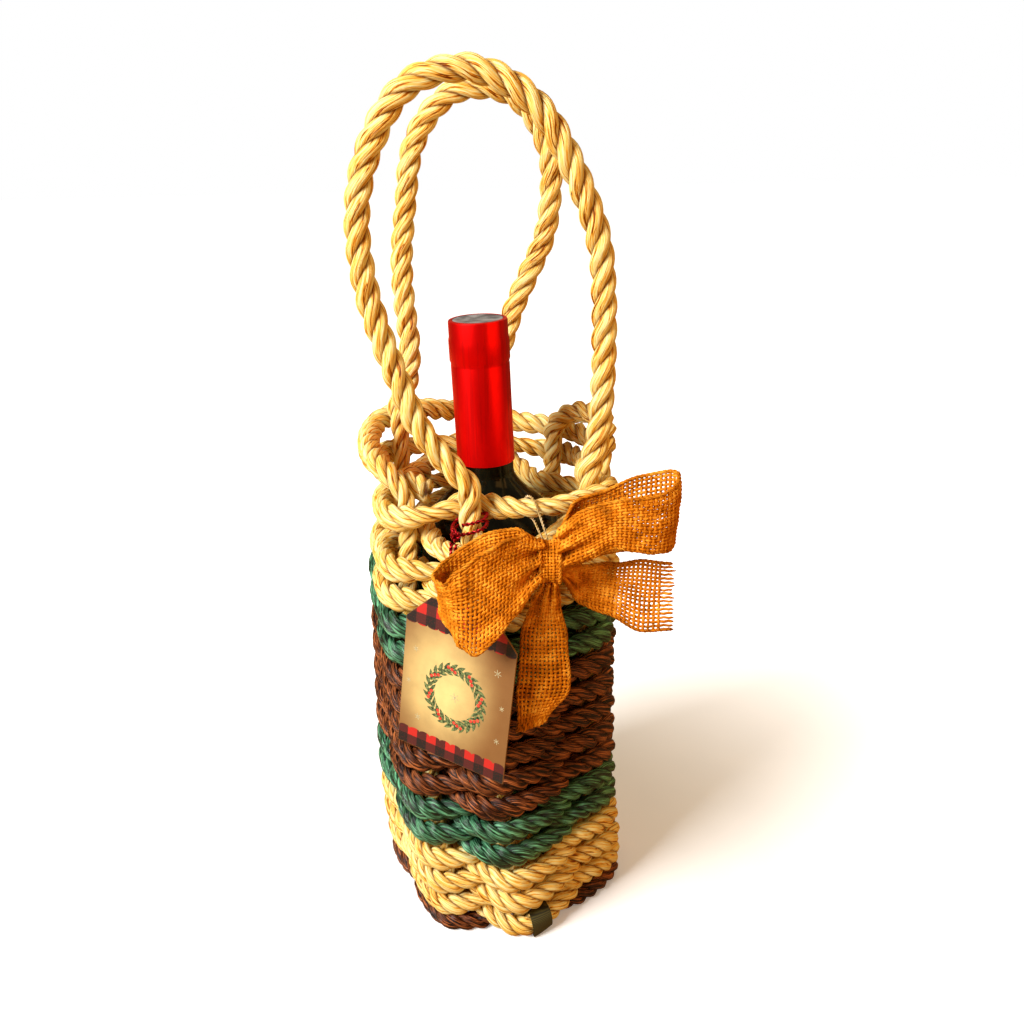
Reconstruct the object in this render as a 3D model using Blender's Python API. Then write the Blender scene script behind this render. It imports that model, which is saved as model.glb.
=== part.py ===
"""Bottle wrap woven from laid rope on seven upright ropes, with two rope handles,
a burlap bow, a card tag on a cord, a band round the lowest rope and a bottle in it.
Metres, +Z up. The camera side of the wrap faces -Y."""

import math

import bmesh
import bpy
from mathutils import Matrix, Vector

MM = 0.001

# Rope
ROPE_DIAMETER = 12.0 * MM
FLOAT_WIDTH = 9.2 * MM
FLOAT_HEIGHT = 11.8 * MM
CROSSING_WIDTH = 12.4 * MM
CROSSING_HEIGHT = 7.15 * MM
CROSSING_GAP = 0.3 * MM
STAKE_THICKNESS = 8.6 * MM
STAKE_WIDTH = 11.2 * MM
STAKE_GAP = 0.45 * MM
WRAP_LENGTH = 9.2 * MM
JOIN_GAP = 0.4 * MM
CLEARANCE = 0.3 * MM

# Bottle, from its foot
BOTTLE_RADIUS = 36.5 * MM
BOTTLE_HEIGHT = 313.0 * MM
BOTTLE_WALL = 3.0 * MM
SHOULDER_HEIGHT = 204.0 * MM
NECK_RADIUS = 13.8 * MM
NECK_LENGTH = 77.0 * MM
HEEL_RADIUS = 4.0 * MM
PUNT_HEIGHT = 11.0 * MM
PUNT_RADIUS = 27.0 * MM
BORE_RADIUS = 9.4 * MM
CORK_LENGTH = 44.0 * MM
WINE_HEADSPACE = 22.2 * MM
CAPSULE_LENGTH = 72.0 * MM
CAPSULE_RADIUS = 14.6 * MM
CAPSULE_BEAD = 0.4 * MM
CAPSULE_DISC_RADIUS = 12.3 * MM
CAPSULE_DISC_THICKNESS = 0.5 * MM
BOTTLE_FOOT_X = 2.4 * MM
BOTTLE_FOOT_Y = -1.4 * MM
BOTTLE_LEAN_X = -5.8 * MM
BOTTLE_LEAN_Y = 1.6 * MM

# Wall of the wrap
POCKET_CLEARANCE = 4.9 * MM
BASE_TAPER = 2.9 * MM
TAPER_HEIGHT = 45.0 * MM
WALL_LEAN = 4.0 * MM
LEAN_START_HEIGHT = 84.0 * MM
LEAN_END_HEIGHT = 187.0 * MM
LEAN_END_LENGTH = 50.0 * MM
BASE_ROPE_HEIGHT = 9.4 * MM
LOOSE_ROW_PITCH = 13.4 * MM
LAST_ROW_PITCH = 8.3 * MM
TWIST_HEIGHT = 240.0 * MM
TIGHT_ROWS = 28
RIM_ROW = 30
STAKE_ANGLES = (-31.0, 8.0, 75.0, 113.0, 165.0, 211.0, 265.0)
STAKE_TWIST = -21.0

# Lift of the floats of the lowest rows and of the rim, in row pitches.
# The lowest table has one value for every second stake that the rope passes outside.
FLOAT_DIP_SHARES = (
    0.0, 0.0, 0.0, -0.10, -0.64, -0.45, -0.25, -0.28, -0.28, -0.28,
    -0.30, -0.30, -0.30, -0.25, -0.28, -0.28, -0.28, -0.28, -0.24, -0.22, -0.20,
    -0.18, -0.15, -0.12, -0.10, -0.08, -0.06, -0.04, -0.02, -0.02,
)
RIM_LIFT_SHARES = (-0.10, 0.67, 0.87, 0.40, -0.20)

# Handles: the hinge line lies above the rim, and the loop stands on it
FRONT_HINGE_HEIGHT = 256.0 * MM
BACK_HINGE_HEIGHT = 274.0 * MM
HANDLE_SPREAD = 50.0 * MM
FRONT_HANDLE_RISE = 177.3 * MM
BACK_HANDLE_RISE = 154.0 * MM
STAKE_TOP_GAP = 0.3 * MM

# Routes of the handles' free loops: across and toward the back in handle spreads,
# and up from the hinge in handle rises. Their feet stand on the stakes.
FRONT_HANDLE_SHARES = (
    (-0.352, -1.044, 0.039), (-0.502, -1.004, 0.085), (-0.612, -0.992, 0.132), (-0.712, -0.98, 0.179),
    (-0.844, -0.956, 0.283), (-0.964, -0.932, 0.384), (-1.054, -0.92, 0.482), (-1.106, -0.92, 0.578),
    (-1.108, -0.92, 0.672), (-1.058, -0.92, 0.762), (-0.936, -0.92, 0.849), (-0.752, -0.92, 0.934),
    (-0.516, -0.92, 0.981), (-0.192, -0.92, 1.0), (0.128, -0.92, 0.977), (0.448, -0.92, 0.91),
    (0.694, -0.92, 0.796), (0.868, -0.886, 0.681), (0.982, -0.82, 0.561), (1.016, -0.754, 0.359),
    (1.008, -0.698, 0.192), (0.968, -0.668, 0.079),
)
BACK_HANDLE_SHARES = (
    (-0.932, 0.59, 0.042), (-0.872, 0.73, 0.117), (-0.868, 0.778, 0.209), (-0.904, 0.82, 0.376),
    (-0.9, 0.87, 0.472), (-0.876, 0.92, 0.568), (-0.828, 0.92, 0.663), (-0.79, 0.92, 0.756),
    (-0.726, 0.92, 0.832), (-0.596, 0.92, 0.907), (-0.43, 0.92, 0.964), (-0.24, 0.92, 0.994),
    (0.04, 0.92, 1.0), (0.28, 0.92, 0.974), (0.48, 0.92, 0.909), (0.618, 0.92, 0.808),
    (0.648, 0.934, 0.715), (0.594, 0.96, 0.555), (0.424, 0.986, 0.424), (0.238, 1.014, 0.288),
    (0.11, 1.04, 0.165), (-0.072, 1.068, 0.055),
)

# Left rope bent over the rim and laid along the back, then tucked in at the right:
# angle, then radius and height in rope diameters beyond the stakes and above the rim level.
BACK_ROPE_HEIGHT = 258.0 * MM
BACK_ROPE_ANGLES = (-62, -75, -90, -104, -116, -130, -144, -156, -170, -182, -194, -207, -217, -230, -240, -251)
BACK_ROPE_RADIUS_SHARES = (
    0.26, 0.50, 0.68, 0.89, 1.04, 0.92, 0.80, 0.77, 1.04, 0.92, 0.75, 0.95, 1.04, 0.92, 0.76, 0.62,
)
BACK_ROPE_HEIGHT_SHARES = (
    -0.25, 0.00, 0.25, 0.42, 0.58, 0.67, 0.58, 0.33, 0.08, -0.25, -0.42, -0.53, -0.63, -0.70, -0.73, -0.75,
)

# Right rope bent over the back rope from one stake to the next
LOOP_HEIGHT = 263.0 * MM
LOOP_ANGLES = (144.0, 139.5, 131.0, 121.0, 110.0, 99.5, 93.5)
LOOP_RADIUS_SHARES = (-0.04, 0.05, 0.27, 0.43, 0.44, 0.24, 0.04)
LOOP_HEIGHT_SHARES = (-0.88, -0.29, 0.13, 0.25, 0.22, -0.17, -0.75)

# Coil of the base, wound from the middle: angle and radius in coil pitches.
# The first turn's table holds for each later turn one pitch further out.
COIL_PITCH = 10.7 * MM
COIL_ROPE_WIDTH = 10.2 * MM
COIL_START_LENGTH = 2.6 * MM
COIL_START_WIDTH = 7.0 * MM
COIL_TURN_SHARES = (
    (180, 0.51), (225, 0.77), (270, 0.90), (315, 0.94), (360, 0.955), (405, 0.99), (450, 1.05), (495, 1.25),
    (540, 1.51),
)
COIL_OUTER_SHARES = ((1170, 3.05), (1215, 3.25), (1240, 3.42), (1257, 3.66), (1273, 4.15))
COIL_STEP = 18
COIL_TIGHT_STEPS = 5
COIL_LOW_STEPS = 4

# Bow, tied round the rim: its middle, the ribbon's width, and the ribbon's two edges
# in ribbon widths from the middle
BOW_X = 23.0 * MM
BOW_Y = -82.0 * MM
BOW_Z = 231.0 * MM
RIBBON_WIDTH = 38.0 * MM
RIBBON_THICKNESS = 1.0 * MM
KNOT_WIDTH = 7.0 * MM
KNOT_DEPTH = 8.5 * MM
KNOT_HEIGHT = 20.0 * MM
TWINE_DIAMETER = 1.3 * MM
TWINE_PLACE_SHARE = 0.12
TWINE_LOOP_SHARES = (
    (28, 1.12), (60, 1.05), (90, 1.0), (120, 1.05), (150, 1.12), (180, 1.08), (215, 1.15), (250, 1.0), (290, 1.0),
)
LEFT_LOOP_SHARES = (
    ((-0.095, 0.05, 0.20), (-0.095, 0.05, -0.14)),
    ((-0.39, 0.16, 0.35), (-0.39, 0.16, -0.42)),
    ((-0.69, 0.18, 0.30), (-0.69, 0.18, -0.48)),
    ((-0.98, 0.18, 0.15), (-0.98, 0.18, -0.58)),
    ((-1.22, 0.11, 0.00), (-1.22, 0.11, -0.62)),
    ((-1.34, -0.05, -0.10), (-1.29, -0.05, -0.55)),
    ((-1.22, -0.21, -0.14), (-1.18, -0.24, -0.67)),
    ((-1.06, -0.29, 0.06), (-1.06, -0.34, -0.88)),
    ((-0.80, -0.26, 0.24), (-0.88, -0.39, -0.96)),
    ((-0.57, -0.21, 0.35), (-0.67, -0.37, -0.79)),
    ((-0.32, -0.13, 0.39), (-0.43, -0.26, -0.55)),
    ((-0.10, -0.05, 0.30), (-0.15, -0.09, -0.24)),
)
RIGHT_LOOP_SHARES = (
    ((0.093, 0.05, 0.28), (0.093, 0.05, -0.04)),
    ((0.31, 0.22, 0.66), (0.31, 0.22, -0.13)),
    ((0.61, 0.29, 0.73), (0.61, 0.29, -0.06)),
    ((1.08, 0.32, 0.91), (1.08, 0.32, 0.00)),
    ((1.39, 0.27, 0.98), (1.39, 0.27, 0.02)),
    ((1.51, 0.14, 0.99), (1.48, 0.14, 0.16)),
    ((1.45, -0.03, 0.90), (1.42, 0.00, 0.10)),
    ((1.23, -0.16, 0.82), (1.21, -0.11, 0.11)),
    ((1.00, -0.21, 0.81), (0.97, -0.13, 0.15)),
    ((0.67, -0.21, 0.77), (0.70, -0.16, 0.20)),
    ((0.36, -0.16, 0.66), (0.46, -0.13, 0.06)),
    ((0.10, -0.06, 0.42), (0.10, -0.05, -0.10)),
)
RIGHT_TAIL_SHARES = (
    ((0.105, 0.10, -0.10), (0.12, 0.12, -0.24)),
    ((0.38, 0.24, -0.17), (0.39, 0.24, -0.68)),
    ((0.76, 0.27, -0.17), (0.69, 0.27, -0.83)),
    ((1.16, 0.27, -0.14), (1.12, 0.27, -1.08)),
    ((1.47, 0.26, -0.19), (1.50, 0.26, -1.07)),
)
CENTRE_TAIL_SHARES = (
    ((-0.10, 0.00, -0.275), (0.09, 0.02, -0.275)),
    ((-0.21, 0.03, -0.53), (0.12, 0.06, -0.60)),
    ((-0.34, 0.06, -1.04), (0.20, 0.12, -1.10)),
    ((-0.40, 0.08, -1.75), (0.23, 0.14, -1.82)),
    ((-0.42, 0.09, -2.39), (-0.07, 0.12, -2.27)),
)

# Card tag and its cord
TAG_WIDTH = 61.5 * MM
TAG_HEIGHT = 82.0 * MM
TAG_THICKNESS = 0.8 * MM
TAG_CHAMFER = 13.0 * MM
TAG_HOLE_RADIUS = 2.4 * MM
TAG_HOLE_DROP = 7.0 * MM
TAG_X = -21.5 * MM
TAG_Y = -73.2 * MM
TAG_Z = 163.2 * MM
TAG_TURN = -32.0
TAG_TILT = 5.0
TAG_ROLL = 5.0
CORD_DIAMETER = 2.0 * MM
CORD_KNOT_DIAMETER = 5.2 * MM
CORD_KNOT_HEIGHT = 237.0 * MM
CORD_KNOT_REACH = 13.0 * MM
CORD_KNOT_SHIFT = 4.0 * MM
CORD_LOOP_GAP = 0.4 * MM
CORD_STRAND_LEAD = 1.5 * MM
CORD_STRAND_BULGE = 1.8 * MM

# Ring of the tag's cord round the stake: whether the point lies out by the knot (1) or at the stake (0),
# then its shares of that reach and of the stake's half width
CORD_RING_SHARES = (
    (1, 1.0, -0.75), (0, 1.15, -1.0), (0, 0.0, -1.12), (0, -1.0, -0.85), (0, -1.0, 0.0),
    (0, -1.0, 0.85), (0, 0.0, 1.12), (0, 1.15, 0.95), (1, 1.0, -0.25),
)

# Band round the lowest rope, in parts of the stretch between two stakes
BAND_FROM_SHARE = 0.12
BAND_TO_SHARE = 0.40
BAND_CLEARANCE = 0.8 * MM
BAND_THICKNESS = 0.4 * MM

# Counts
ROUND_SIDES = 28
HANDLE_SIDES = 8
HANDLE_STEPS = 34
STAKE_STEPS = 16
STAKES = len(STAKE_ANGLES)
COIL_ROW_STAKES = 5

ROW_PITCH = CROSSING_HEIGHT + CROSSING_GAP
FLOAT_OFFSET = (FLOAT_WIDTH + STAKE_THICKNESS) / 2 + STAKE_GAP
STAKE_CIRCLE = BOTTLE_RADIUS + POCKET_CLEARANCE + FLOAT_WIDTH / 2 + FLOAT_OFFSET
BOTTLE_TILT = math.hypot(BOTTLE_LEAN_X, BOTTLE_LEAN_Y) / SHOULDER_HEIGHT
BOTTLE_FOOT_Z = BASE_ROPE_HEIGHT + CLEARANCE + BOTTLE_RADIUS * BOTTLE_TILT

# Outlines of a rope's section: across and along its two half sizes
ROPE_OUTLINE = ((1, -0.5), (1, 0.5), (0, 1), (-1, 0.5), (-1, -0.5), (0, -1))
FLAT_FOOT_OUTLINE = ((1, -0.4), (1, 0.4), (0, 1), (-1, 0.4), (-1, -0.4), (-0.55, -1), (0.55, -1))
NARROW_FOOT_OUTLINE = ((1, -0.5), (1, 0.5), (0, 1), (-1, 0.5), (-1, -0.5), (-0.06, -1), (0.06, -1))
STRIP_OUTLINE = ((1, -1), (1, 1), (-1, 1), (-1, -1))

NATURAL_ROPE = (0.83, 0.62, 0.28)
GREEN_ROPE = (0.02, 0.12, 0.08)
BROWN_ROPE = (0.16, 0.05, 0.03)
BURLAP = (0.55, 0.32, 0.08)


def material(name, colour, roughness, metallic=0.0, alpha=1.0):
    made = bpy.data.materials.new(name)
    made.use_nodes = True
    shader = made.node_tree.nodes["Principled BSDF"]
    shader.inputs["Base Color"].default_value = (*colour, 1.0)
    shader.inputs["Roughness"].default_value = roughness
    shader.inputs["Metallic"].default_value = metallic
    shader.inputs["Alpha"].default_value = alpha
    made.diffuse_color = (*colour, alpha)
    return made


def smooth_step(value):
    value = min(max(value, 0.0), 1.0)
    return value * value * (3 - 2 * value)


def circle_outline(sides):
    return tuple((math.cos(2 * math.pi * i / sides), math.sin(2 * math.pi * i / sides)) for i in range(sides))


def finish(name, mesh_data, look, smooth=False):
    """Closes the mesh with its faces outward and makes the named object."""
    bmesh.ops.triangulate(mesh_data, faces=mesh_data.faces[:])
    bmesh.ops.recalc_face_normals(mesh_data, faces=mesh_data.faces[:])
    mesh = bpy.data.meshes.new(name)
    mesh_data.to_mesh(mesh)
    mesh_data.free()
    for polygon in mesh.polygons:
        polygon.use_smooth = smooth
    mesh.materials.append(look)
    made = bpy.data.objects.new(name, mesh)
    bpy.context.collection.objects.link(made)
    return made


def sweep(name, stations, outlines, look, smooth=False):
    """A closed solid through stations of (centre, side, up, half width, half height),
    with one outline for all of them or a list of one for each."""
    shape = bmesh.new()
    rings = []
    if not isinstance(outlines, list):
        outlines = [outlines] * len(stations)
    for (centre, side, up, half_width, half_height), outline in zip(stations, outlines):
        ring = [shape.verts.new(centre + side * (half_width * a) + up * (half_height * b)) for a, b in outline]
        rings.append(ring)
    count = len(rings[0])
    for first, second in zip(rings, rings[1:]):
        for i in range(count):
            shape.faces.new((first[i], first[(i + 1) % count], second[(i + 1) % count], second[i]))
    shape.faces.new(rings[0][::-1])
    shape.faces.new(rings[-1])
    return finish(name, shape, look, smooth)


def turn(name, profile, look, smooth=True):
    """A closed solid turned round Z from (radius, height) points; a zero radius closes on the axis."""
    shape = bmesh.new()
    rings = []
    for radius, height in profile:
        if radius == 0:
            rings.append([shape.verts.new((0, 0, height))])
            continue
        ring = []
        for i in range(ROUND_SIDES):
            angle = 2 * math.pi * i / ROUND_SIDES
            ring.append(shape.verts.new((radius * math.cos(angle), radius * math.sin(angle), height)))
        rings.append(ring)
    pairs = list(zip(rings, rings[1:]))
    if profile[0][0] != 0:
        pairs.append((rings[-1], rings[0]))
    for first, second in pairs:
        for i in range(ROUND_SIDES):
            j = (i + 1) % ROUND_SIDES
            if len(first) == 1:
                shape.faces.new((first[0], second[i], second[j]))
            elif len(second) == 1:
                shape.faces.new((first[i], first[j], second[0]))
            else:
                shape.faces.new((first[i], first[j], second[j], second[i]))
    return finish(name, shape, look, smooth)


def smooth_route(points, steps):
    """Evenly spaced points on a smooth curve through the given ones."""
    dense = []
    last = len(points) - 1
    for i in range(last):
        p0 = points[max(i - 1, 0)]
        p1 = points[i]
        p2 = points[i + 1]
        p3 = points[min(i + 2, last)]
        for j in range(12):
            t = j / 12
            dense.append(
                0.5 * (2 * p1 + (p2 - p0) * t + (2 * p0 - 5 * p1 + 4 * p2 - p3) * t ** 2
                       + (3 * p1 - p0 - 3 * p2 + p3) * t ** 3)
            )
    dense.append(points[-1])
    lengths = [0.0]
    for a, b in zip(dense, dense[1:]):
        lengths.append(lengths[-1] + (b - a).length)
    route = []
    index = 0
    for step in range(steps):
        target = lengths[-1] * step / (steps - 1)
        while index < len(dense) - 2 and lengths[index + 1] < target:
            index += 1
        span = lengths[index + 1] - lengths[index]
        route.append(dense[index].lerp(dense[index + 1], (target - lengths[index]) / span if span else 0.0))
    return route


def tangents(points):
    result = []
    for i in range(len(points)):
        before = points[max(i - 1, 0)]
        after = points[min(i + 1, len(points) - 1)]
        result.append((after - before).normalized())
    return result


# The weave's own places

def wall_centre(height):
    """Middle of the wall at a height: the wall leans a little to the left and back again."""
    lean = smooth_step((height - LEAN_END_HEIGHT) / LEAN_END_LENGTH) - smooth_step(height / LEAN_START_HEIGHT)
    lean *= WALL_LEAN
    return Vector((lean, 0, height))


def stake_radius(height):
    taper = min(max(1 - height / TAPER_HEIGHT, 0.0), 1.0)
    return STAKE_CIRCLE - BASE_TAPER * taper * taper


def stake_angle(number, height):
    """Angle of a stake from the front, counted on past the last stake, turning to the left with height."""
    turns, index = divmod(number, STAKES)
    twist = STAKE_TWIST * min(height / TWIST_HEIGHT, 1.0)
    return math.radians(STAKE_ANGLES[index] + 360 * turns + twist)


def outward(angle):
    return Vector((math.sin(angle), -math.cos(angle), 0))


def along(angle):
    return Vector((math.cos(angle), math.sin(angle), 0))


def level(place):
    """Height of the weaving rope's middle where it crosses between stakes; a row steps up at the back."""
    row, part = divmod(place + 2.5, STAKES)
    index = row - 0.5 + min(part, 0.5) + max(part - (STAKES - 0.5), 0.0)
    height = CROSSING_HEIGHT / 2 + min(index, TIGHT_ROWS) * ROW_PITCH
    height += min(max(index - TIGHT_ROWS, 0.0), RIM_ROW - TIGHT_ROWS) * LOOSE_ROW_PITCH
    height += max(index - RIM_ROW, 0.0) * LAST_ROW_PITCH
    return height


def rim_lift(place):
    """Extra height of the rim row, read between its stakes."""
    position = place - RIM_ROW * STAKES
    if position < -1 or position > len(RIM_LIFT_SHARES):
        return 0.0
    table = (0.0, *RIM_LIFT_SHARES, 0.0)
    index = min(int(math.floor(position + 1)), len(table) - 2)
    part = position + 1 - index
    return (table[index] * (1 - part) + table[index + 1] * part) * ROW_PITCH


def float_height(number):
    """Height of the rope's middle where it passes stake number."""
    if number < COIL_ROW_STAKES:
        return BASE_ROPE_HEIGHT / 2
    height = level(number) + rim_lift(number)
    if number % 2 == 0 and number // 2 < len(FLOAT_DIP_SHARES):
        height += FLOAT_DIP_SHARES[number // 2] * ROW_PITCH
    return height


def stake_point(number, height):
    angle = stake_angle(number, height)
    return wall_centre(height) + outward(angle) * stake_radius(height)


def stake_direction(number, height):
    """Way an upright rope runs at a height."""
    reach = FLOAT_HEIGHT / 2
    return (stake_point(number, height + reach) - stake_point(number, height - reach)).normalized()


def passing(number, shift):
    """Station of the weaving rope beside a stake, shifted along the wall; even numbers pass outside."""
    side = 1 if number % 2 == 0 else -1
    height = float_height(number)
    radius = stake_radius(height) + side * FLOAT_OFFSET
    angle = stake_angle(number, height) + shift / radius
    centre = wall_centre(height) + outward(angle) * radius
    if number < COIL_ROW_STAKES:
        return (centre, outward(angle), Vector((0, 0, 1)), FLOAT_WIDTH / 2, BASE_ROPE_HEIGHT / 2)
    up = stake_direction(number, height)
    side = (outward(angle) - up * outward(angle).dot(up)).normalized()
    return (centre, side, up, FLOAT_WIDTH / 2, FLOAT_HEIGHT / 2)


def crossing(number):
    """Station of the weaving rope midway between a stake and the next one."""
    height = level(number + 0.5) + rim_lift(number + 0.5)
    angle = (stake_angle(number, height) + stake_angle(number + 1, height)) / 2
    centre = wall_centre(height) + outward(angle) * stake_radius(height)
    return (centre, outward(angle), Vector((0, 0, 1)), CROSSING_WIDTH / 2, CROSSING_HEIGHT / 2)


def weaving_stations(first, last, from_middle, to_middle):
    """Stations from stake first to stake last; a cut end lies at the stake's middle."""
    stations = []
    for number in range(first, last + 1):
        if number == first and from_middle:
            stations.append(passing(number, JOIN_GAP / 2))
        else:
            stations.append(passing(number, -WRAP_LENGTH / 2))
        if number == last and to_middle:
            stations.append(passing(number, -JOIN_GAP / 2))
        else:
            stations.append(passing(number, WRAP_LENGTH / 2))
        if number < last:
            stations.append(crossing(number))
    return stations


def share_between(table, angle):
    for (first_angle, first), (next_angle, following) in zip(table, table[1:]):
        if angle <= next_angle:
            return first + (following - first) * (angle - first_angle) / (next_angle - first_angle)
    return table[-1][1]


def coil_share(angle):
    """Radius of the base coil's middle line in coil pitches at an angle counted on through its turns."""
    if angle >= COIL_OUTER_SHARES[0][0]:
        return share_between(COIL_OUTER_SHARES, angle)
    turn_number, part = divmod(angle - COIL_TURN_SHARES[0][0], 360)
    return turn_number + share_between(COIL_TURN_SHARES, part + COIL_TURN_SHARES[0][0])


def base_coil_stations():
    """The base rope: wound flat from the middle, then out between two stakes and once round the wall."""
    centres = [Vector((COIL_START_LENGTH, 0, 0)), Vector((0, 0, 0))]
    last = COIL_OUTER_SHARES[-1][0]
    tight = [angle for angle, _ in COIL_TURN_SHARES[:COIL_TIGHT_STEPS]]
    for angle in [*tight, *range(tight[-1] + COIL_STEP, last, COIL_STEP), last]:
        radius = coil_share(angle) * COIL_PITCH
        direction = math.radians(angle)
        centres.append(Vector((radius * math.cos(direction), radius * math.sin(direction), 0)))
    leaving = crossing(-1)
    centres.append(Vector((leaving[0].x, leaving[0].y, 0)))
    flow = tangents(centres)
    stations = []
    for i, centre in enumerate(centres):
        side = flow[i].cross(Vector((0, 0, 1)))
        width = COIL_START_WIDTH + (COIL_ROPE_WIDTH - COIL_START_WIDTH) * smooth_step((i - 2) / 4)
        height = BASE_ROPE_HEIGHT
        if i >= len(centres) - COIL_LOW_STEPS:
            height = CROSSING_HEIGHT
        centre = centre + Vector((0, 0, height / 2))
        stations.append((centre, side, Vector((0, 0, 1)), width / 2, height / 2))
    stations[-1] = leaving
    return stations


def stake_station(number, height):
    """Station of an upright rope, flattened by the weave."""
    angle = stake_angle(number, height)
    return (stake_point(number, height), outward(angle), along(angle), STAKE_THICKNESS / 2, STAKE_WIDTH / 2)


def stake_stations(number, top):
    bottom = CLEARANCE * 2
    stations = []
    for i in range(STAKE_STEPS + 1):
        stations.append(stake_station(number, bottom + (top - bottom) * i / STAKE_STEPS))
    return stations


def free_rope(angles, radius_shares, height_shares, base_height):
    """Stations of a rope above the rim; its section keeps one side turned out of the wrap
    and grows from the flattened one of the stake to a round one."""
    turned = [math.radians(angle) for angle in angles]
    points = []
    for angle, radius, height in zip(turned, radius_shares, height_shares):
        centre = wall_centre(base_height + height * ROPE_DIAMETER)
        points.append(centre + outward(angle) * (STAKE_CIRCLE + radius * ROPE_DIAMETER))
    stations = []
    for point, flow, angle in zip(points, tangents(points), turned):
        side = (outward(angle) - flow * outward(angle).dot(flow)).normalized()
        stations.append((point, side, flow.cross(side).normalized(), ROPE_DIAMETER / 2, ROPE_DIAMETER / 2))
    return stations


def eased(station):
    """The station with a section halfway between the round and the flattened one."""
    centre, side, up, _, _ = station
    return (centre, side, up, (ROPE_DIAMETER + STAKE_THICKNESS) / 4, (ROPE_DIAMETER + STAKE_WIDTH) / 4)


def consistent(stations):
    """Keeps neighbouring sections turned the same way."""
    result = [stations[0]]
    for centre, side, up, half_width, half_height in stations[1:]:
        if up.dot(result[-1][2]) < 0:
            up = -up
        if side.dot(result[-1][1]) < 0:
            side = -side
        result.append((centre, side, up, half_width, half_height))
    return result


def left_rope_stations():
    """The left stake, bent over the rim and laid along the back."""
    top = level(RIM_ROW * STAKES) + rim_lift(RIM_ROW * STAKES) + FLOAT_HEIGHT / 2
    free = free_rope(BACK_ROPE_ANGLES, BACK_ROPE_RADIUS_SHARES, BACK_ROPE_HEIGHT_SHARES, BACK_ROPE_HEIGHT)
    free[0] = eased(free[0])
    return consistent(stake_stations(0, top) + free)


def right_loop_stations():
    """The rope that is the right stake and the back right stake, bent over the back rope between them."""
    top = level(RIM_ROW * STAKES + 3) + rim_lift(RIM_ROW * STAKES + 3) + FLOAT_HEIGHT / 2
    free = free_rope(LOOP_ANGLES, LOOP_RADIUS_SHARES, LOOP_HEIGHT_SHARES, LOOP_HEIGHT)
    free[0] = eased(free[0])
    free[-1] = eased(free[-1])
    return consistent(stake_stations(4, top) + free + stake_stations(3, top)[::-1])


def handle(name, feet, route_shares, hinge_height, rise, look):
    """A rope loop on its hinge line; each foot is a dome round the hinge, on top of its stake."""
    first = Vector((feet[0].x, feet[0].y, 0))
    last = Vector((feet[1].x, feet[1].y, 0))
    points = [first]
    for across, back, up in route_shares:
        points.append(Vector((across * HANDLE_SPREAD, back * HANDLE_SPREAD, up * rise)))
    points.append(last)
    route = smooth_route(points, HANDLE_STEPS)
    flow = tangents(route)
    flow[0] = Vector((0, 0, 1))
    flow[-1] = Vector((0, 0, -1))
    radius = ROPE_DIAMETER / 2
    axis = (last - first).normalized()
    middle = (first + last) / 2
    stations = []
    side = axis.copy()
    frames = []
    for direction in flow:
        side = (side - direction * side.dot(direction)).normalized()
        frames.append((side.copy(), direction.cross(side)))
    for angle in (85, 60, 30):
        offset = -math.sin(math.radians(angle)) * radius
        size = math.cos(math.radians(angle)) * radius
        stations.append((route[0] + flow[0] * offset, *frames[0], size, size))
    for point, (a, b) in zip(route, frames):
        stations.append((point, a, b, radius, radius))
    for angle in (30, 60, 85):
        offset = math.sin(math.radians(angle)) * radius
        size = math.cos(math.radians(angle)) * radius
        stations.append((route[-1] + flow[-1] * offset, *frames[-1], size, size))
    moved = [(centre - middle, a, b, w, h) for centre, a, b, w, h in stations]
    made = sweep(name, moved, circle_outline(HANDLE_SIDES), look, smooth=True)
    made.location = middle + Vector((0, 0, hinge_height))
    return made


def ribbon(name, rail_shares, look):
    """A strip of ribbon between its two edges, given from the bow's middle."""
    edges = []
    for upper, lower in rail_shares:
        edges.append((Vector(upper) * RIBBON_WIDTH, Vector(lower) * RIBBON_WIDTH))
    middles = [(upper + lower) / 2 for upper, lower in edges]
    flow = tangents(middles)
    stations = []
    for (upper, lower), middle, direction in zip(edges, middles, flow):
        half = (upper - lower) / 2
        across = half.normalized()
        normal = direction.cross(across).normalized()
        stations.append((middle, across, normal, half.length, RIBBON_THICKNESS / 2))
    made = sweep(name, stations, STRIP_OUTLINE, look)
    made.location = (BOW_X, BOW_Y, BOW_Z)
    return made


def bow_knot(look):
    """The gathered middle of the bow: a round-cornered wrap."""
    shape = bmesh.new()
    bmesh.ops.create_uvsphere(shape, u_segments=10, v_segments=8, radius=1)
    for vertex in shape.verts:
        x, y, z = vertex.co
        vertex.co = Vector((x * KNOT_WIDTH / 2, y * KNOT_DEPTH / 2, z * KNOT_HEIGHT / 2))
    made = finish("bow_knot", shape, look, smooth=True)
    made.location = (BOW_X, BOW_Y, BOW_Z)
    return made


def cord(name, points, diameter, look, cyclic=False):
    """A thin round cord along its route."""
    curve = bpy.data.curves.new(name, "CURVE")
    curve.dimensions = "3D"
    curve.bevel_depth = diameter / 2
    curve.bevel_resolution = 2
    curve.use_fill_caps = not cyclic
    line = curve.splines.new("POLY")
    line.points.add(len(points) - 1)
    for target, point in zip(line.points, points):
        target.co = (*point, 1)
    line.use_cyclic_u = cyclic
    curve.materials.append(look)
    made = bpy.data.objects.new(name, curve)
    bpy.context.collection.objects.link(made)
    return made


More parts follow.
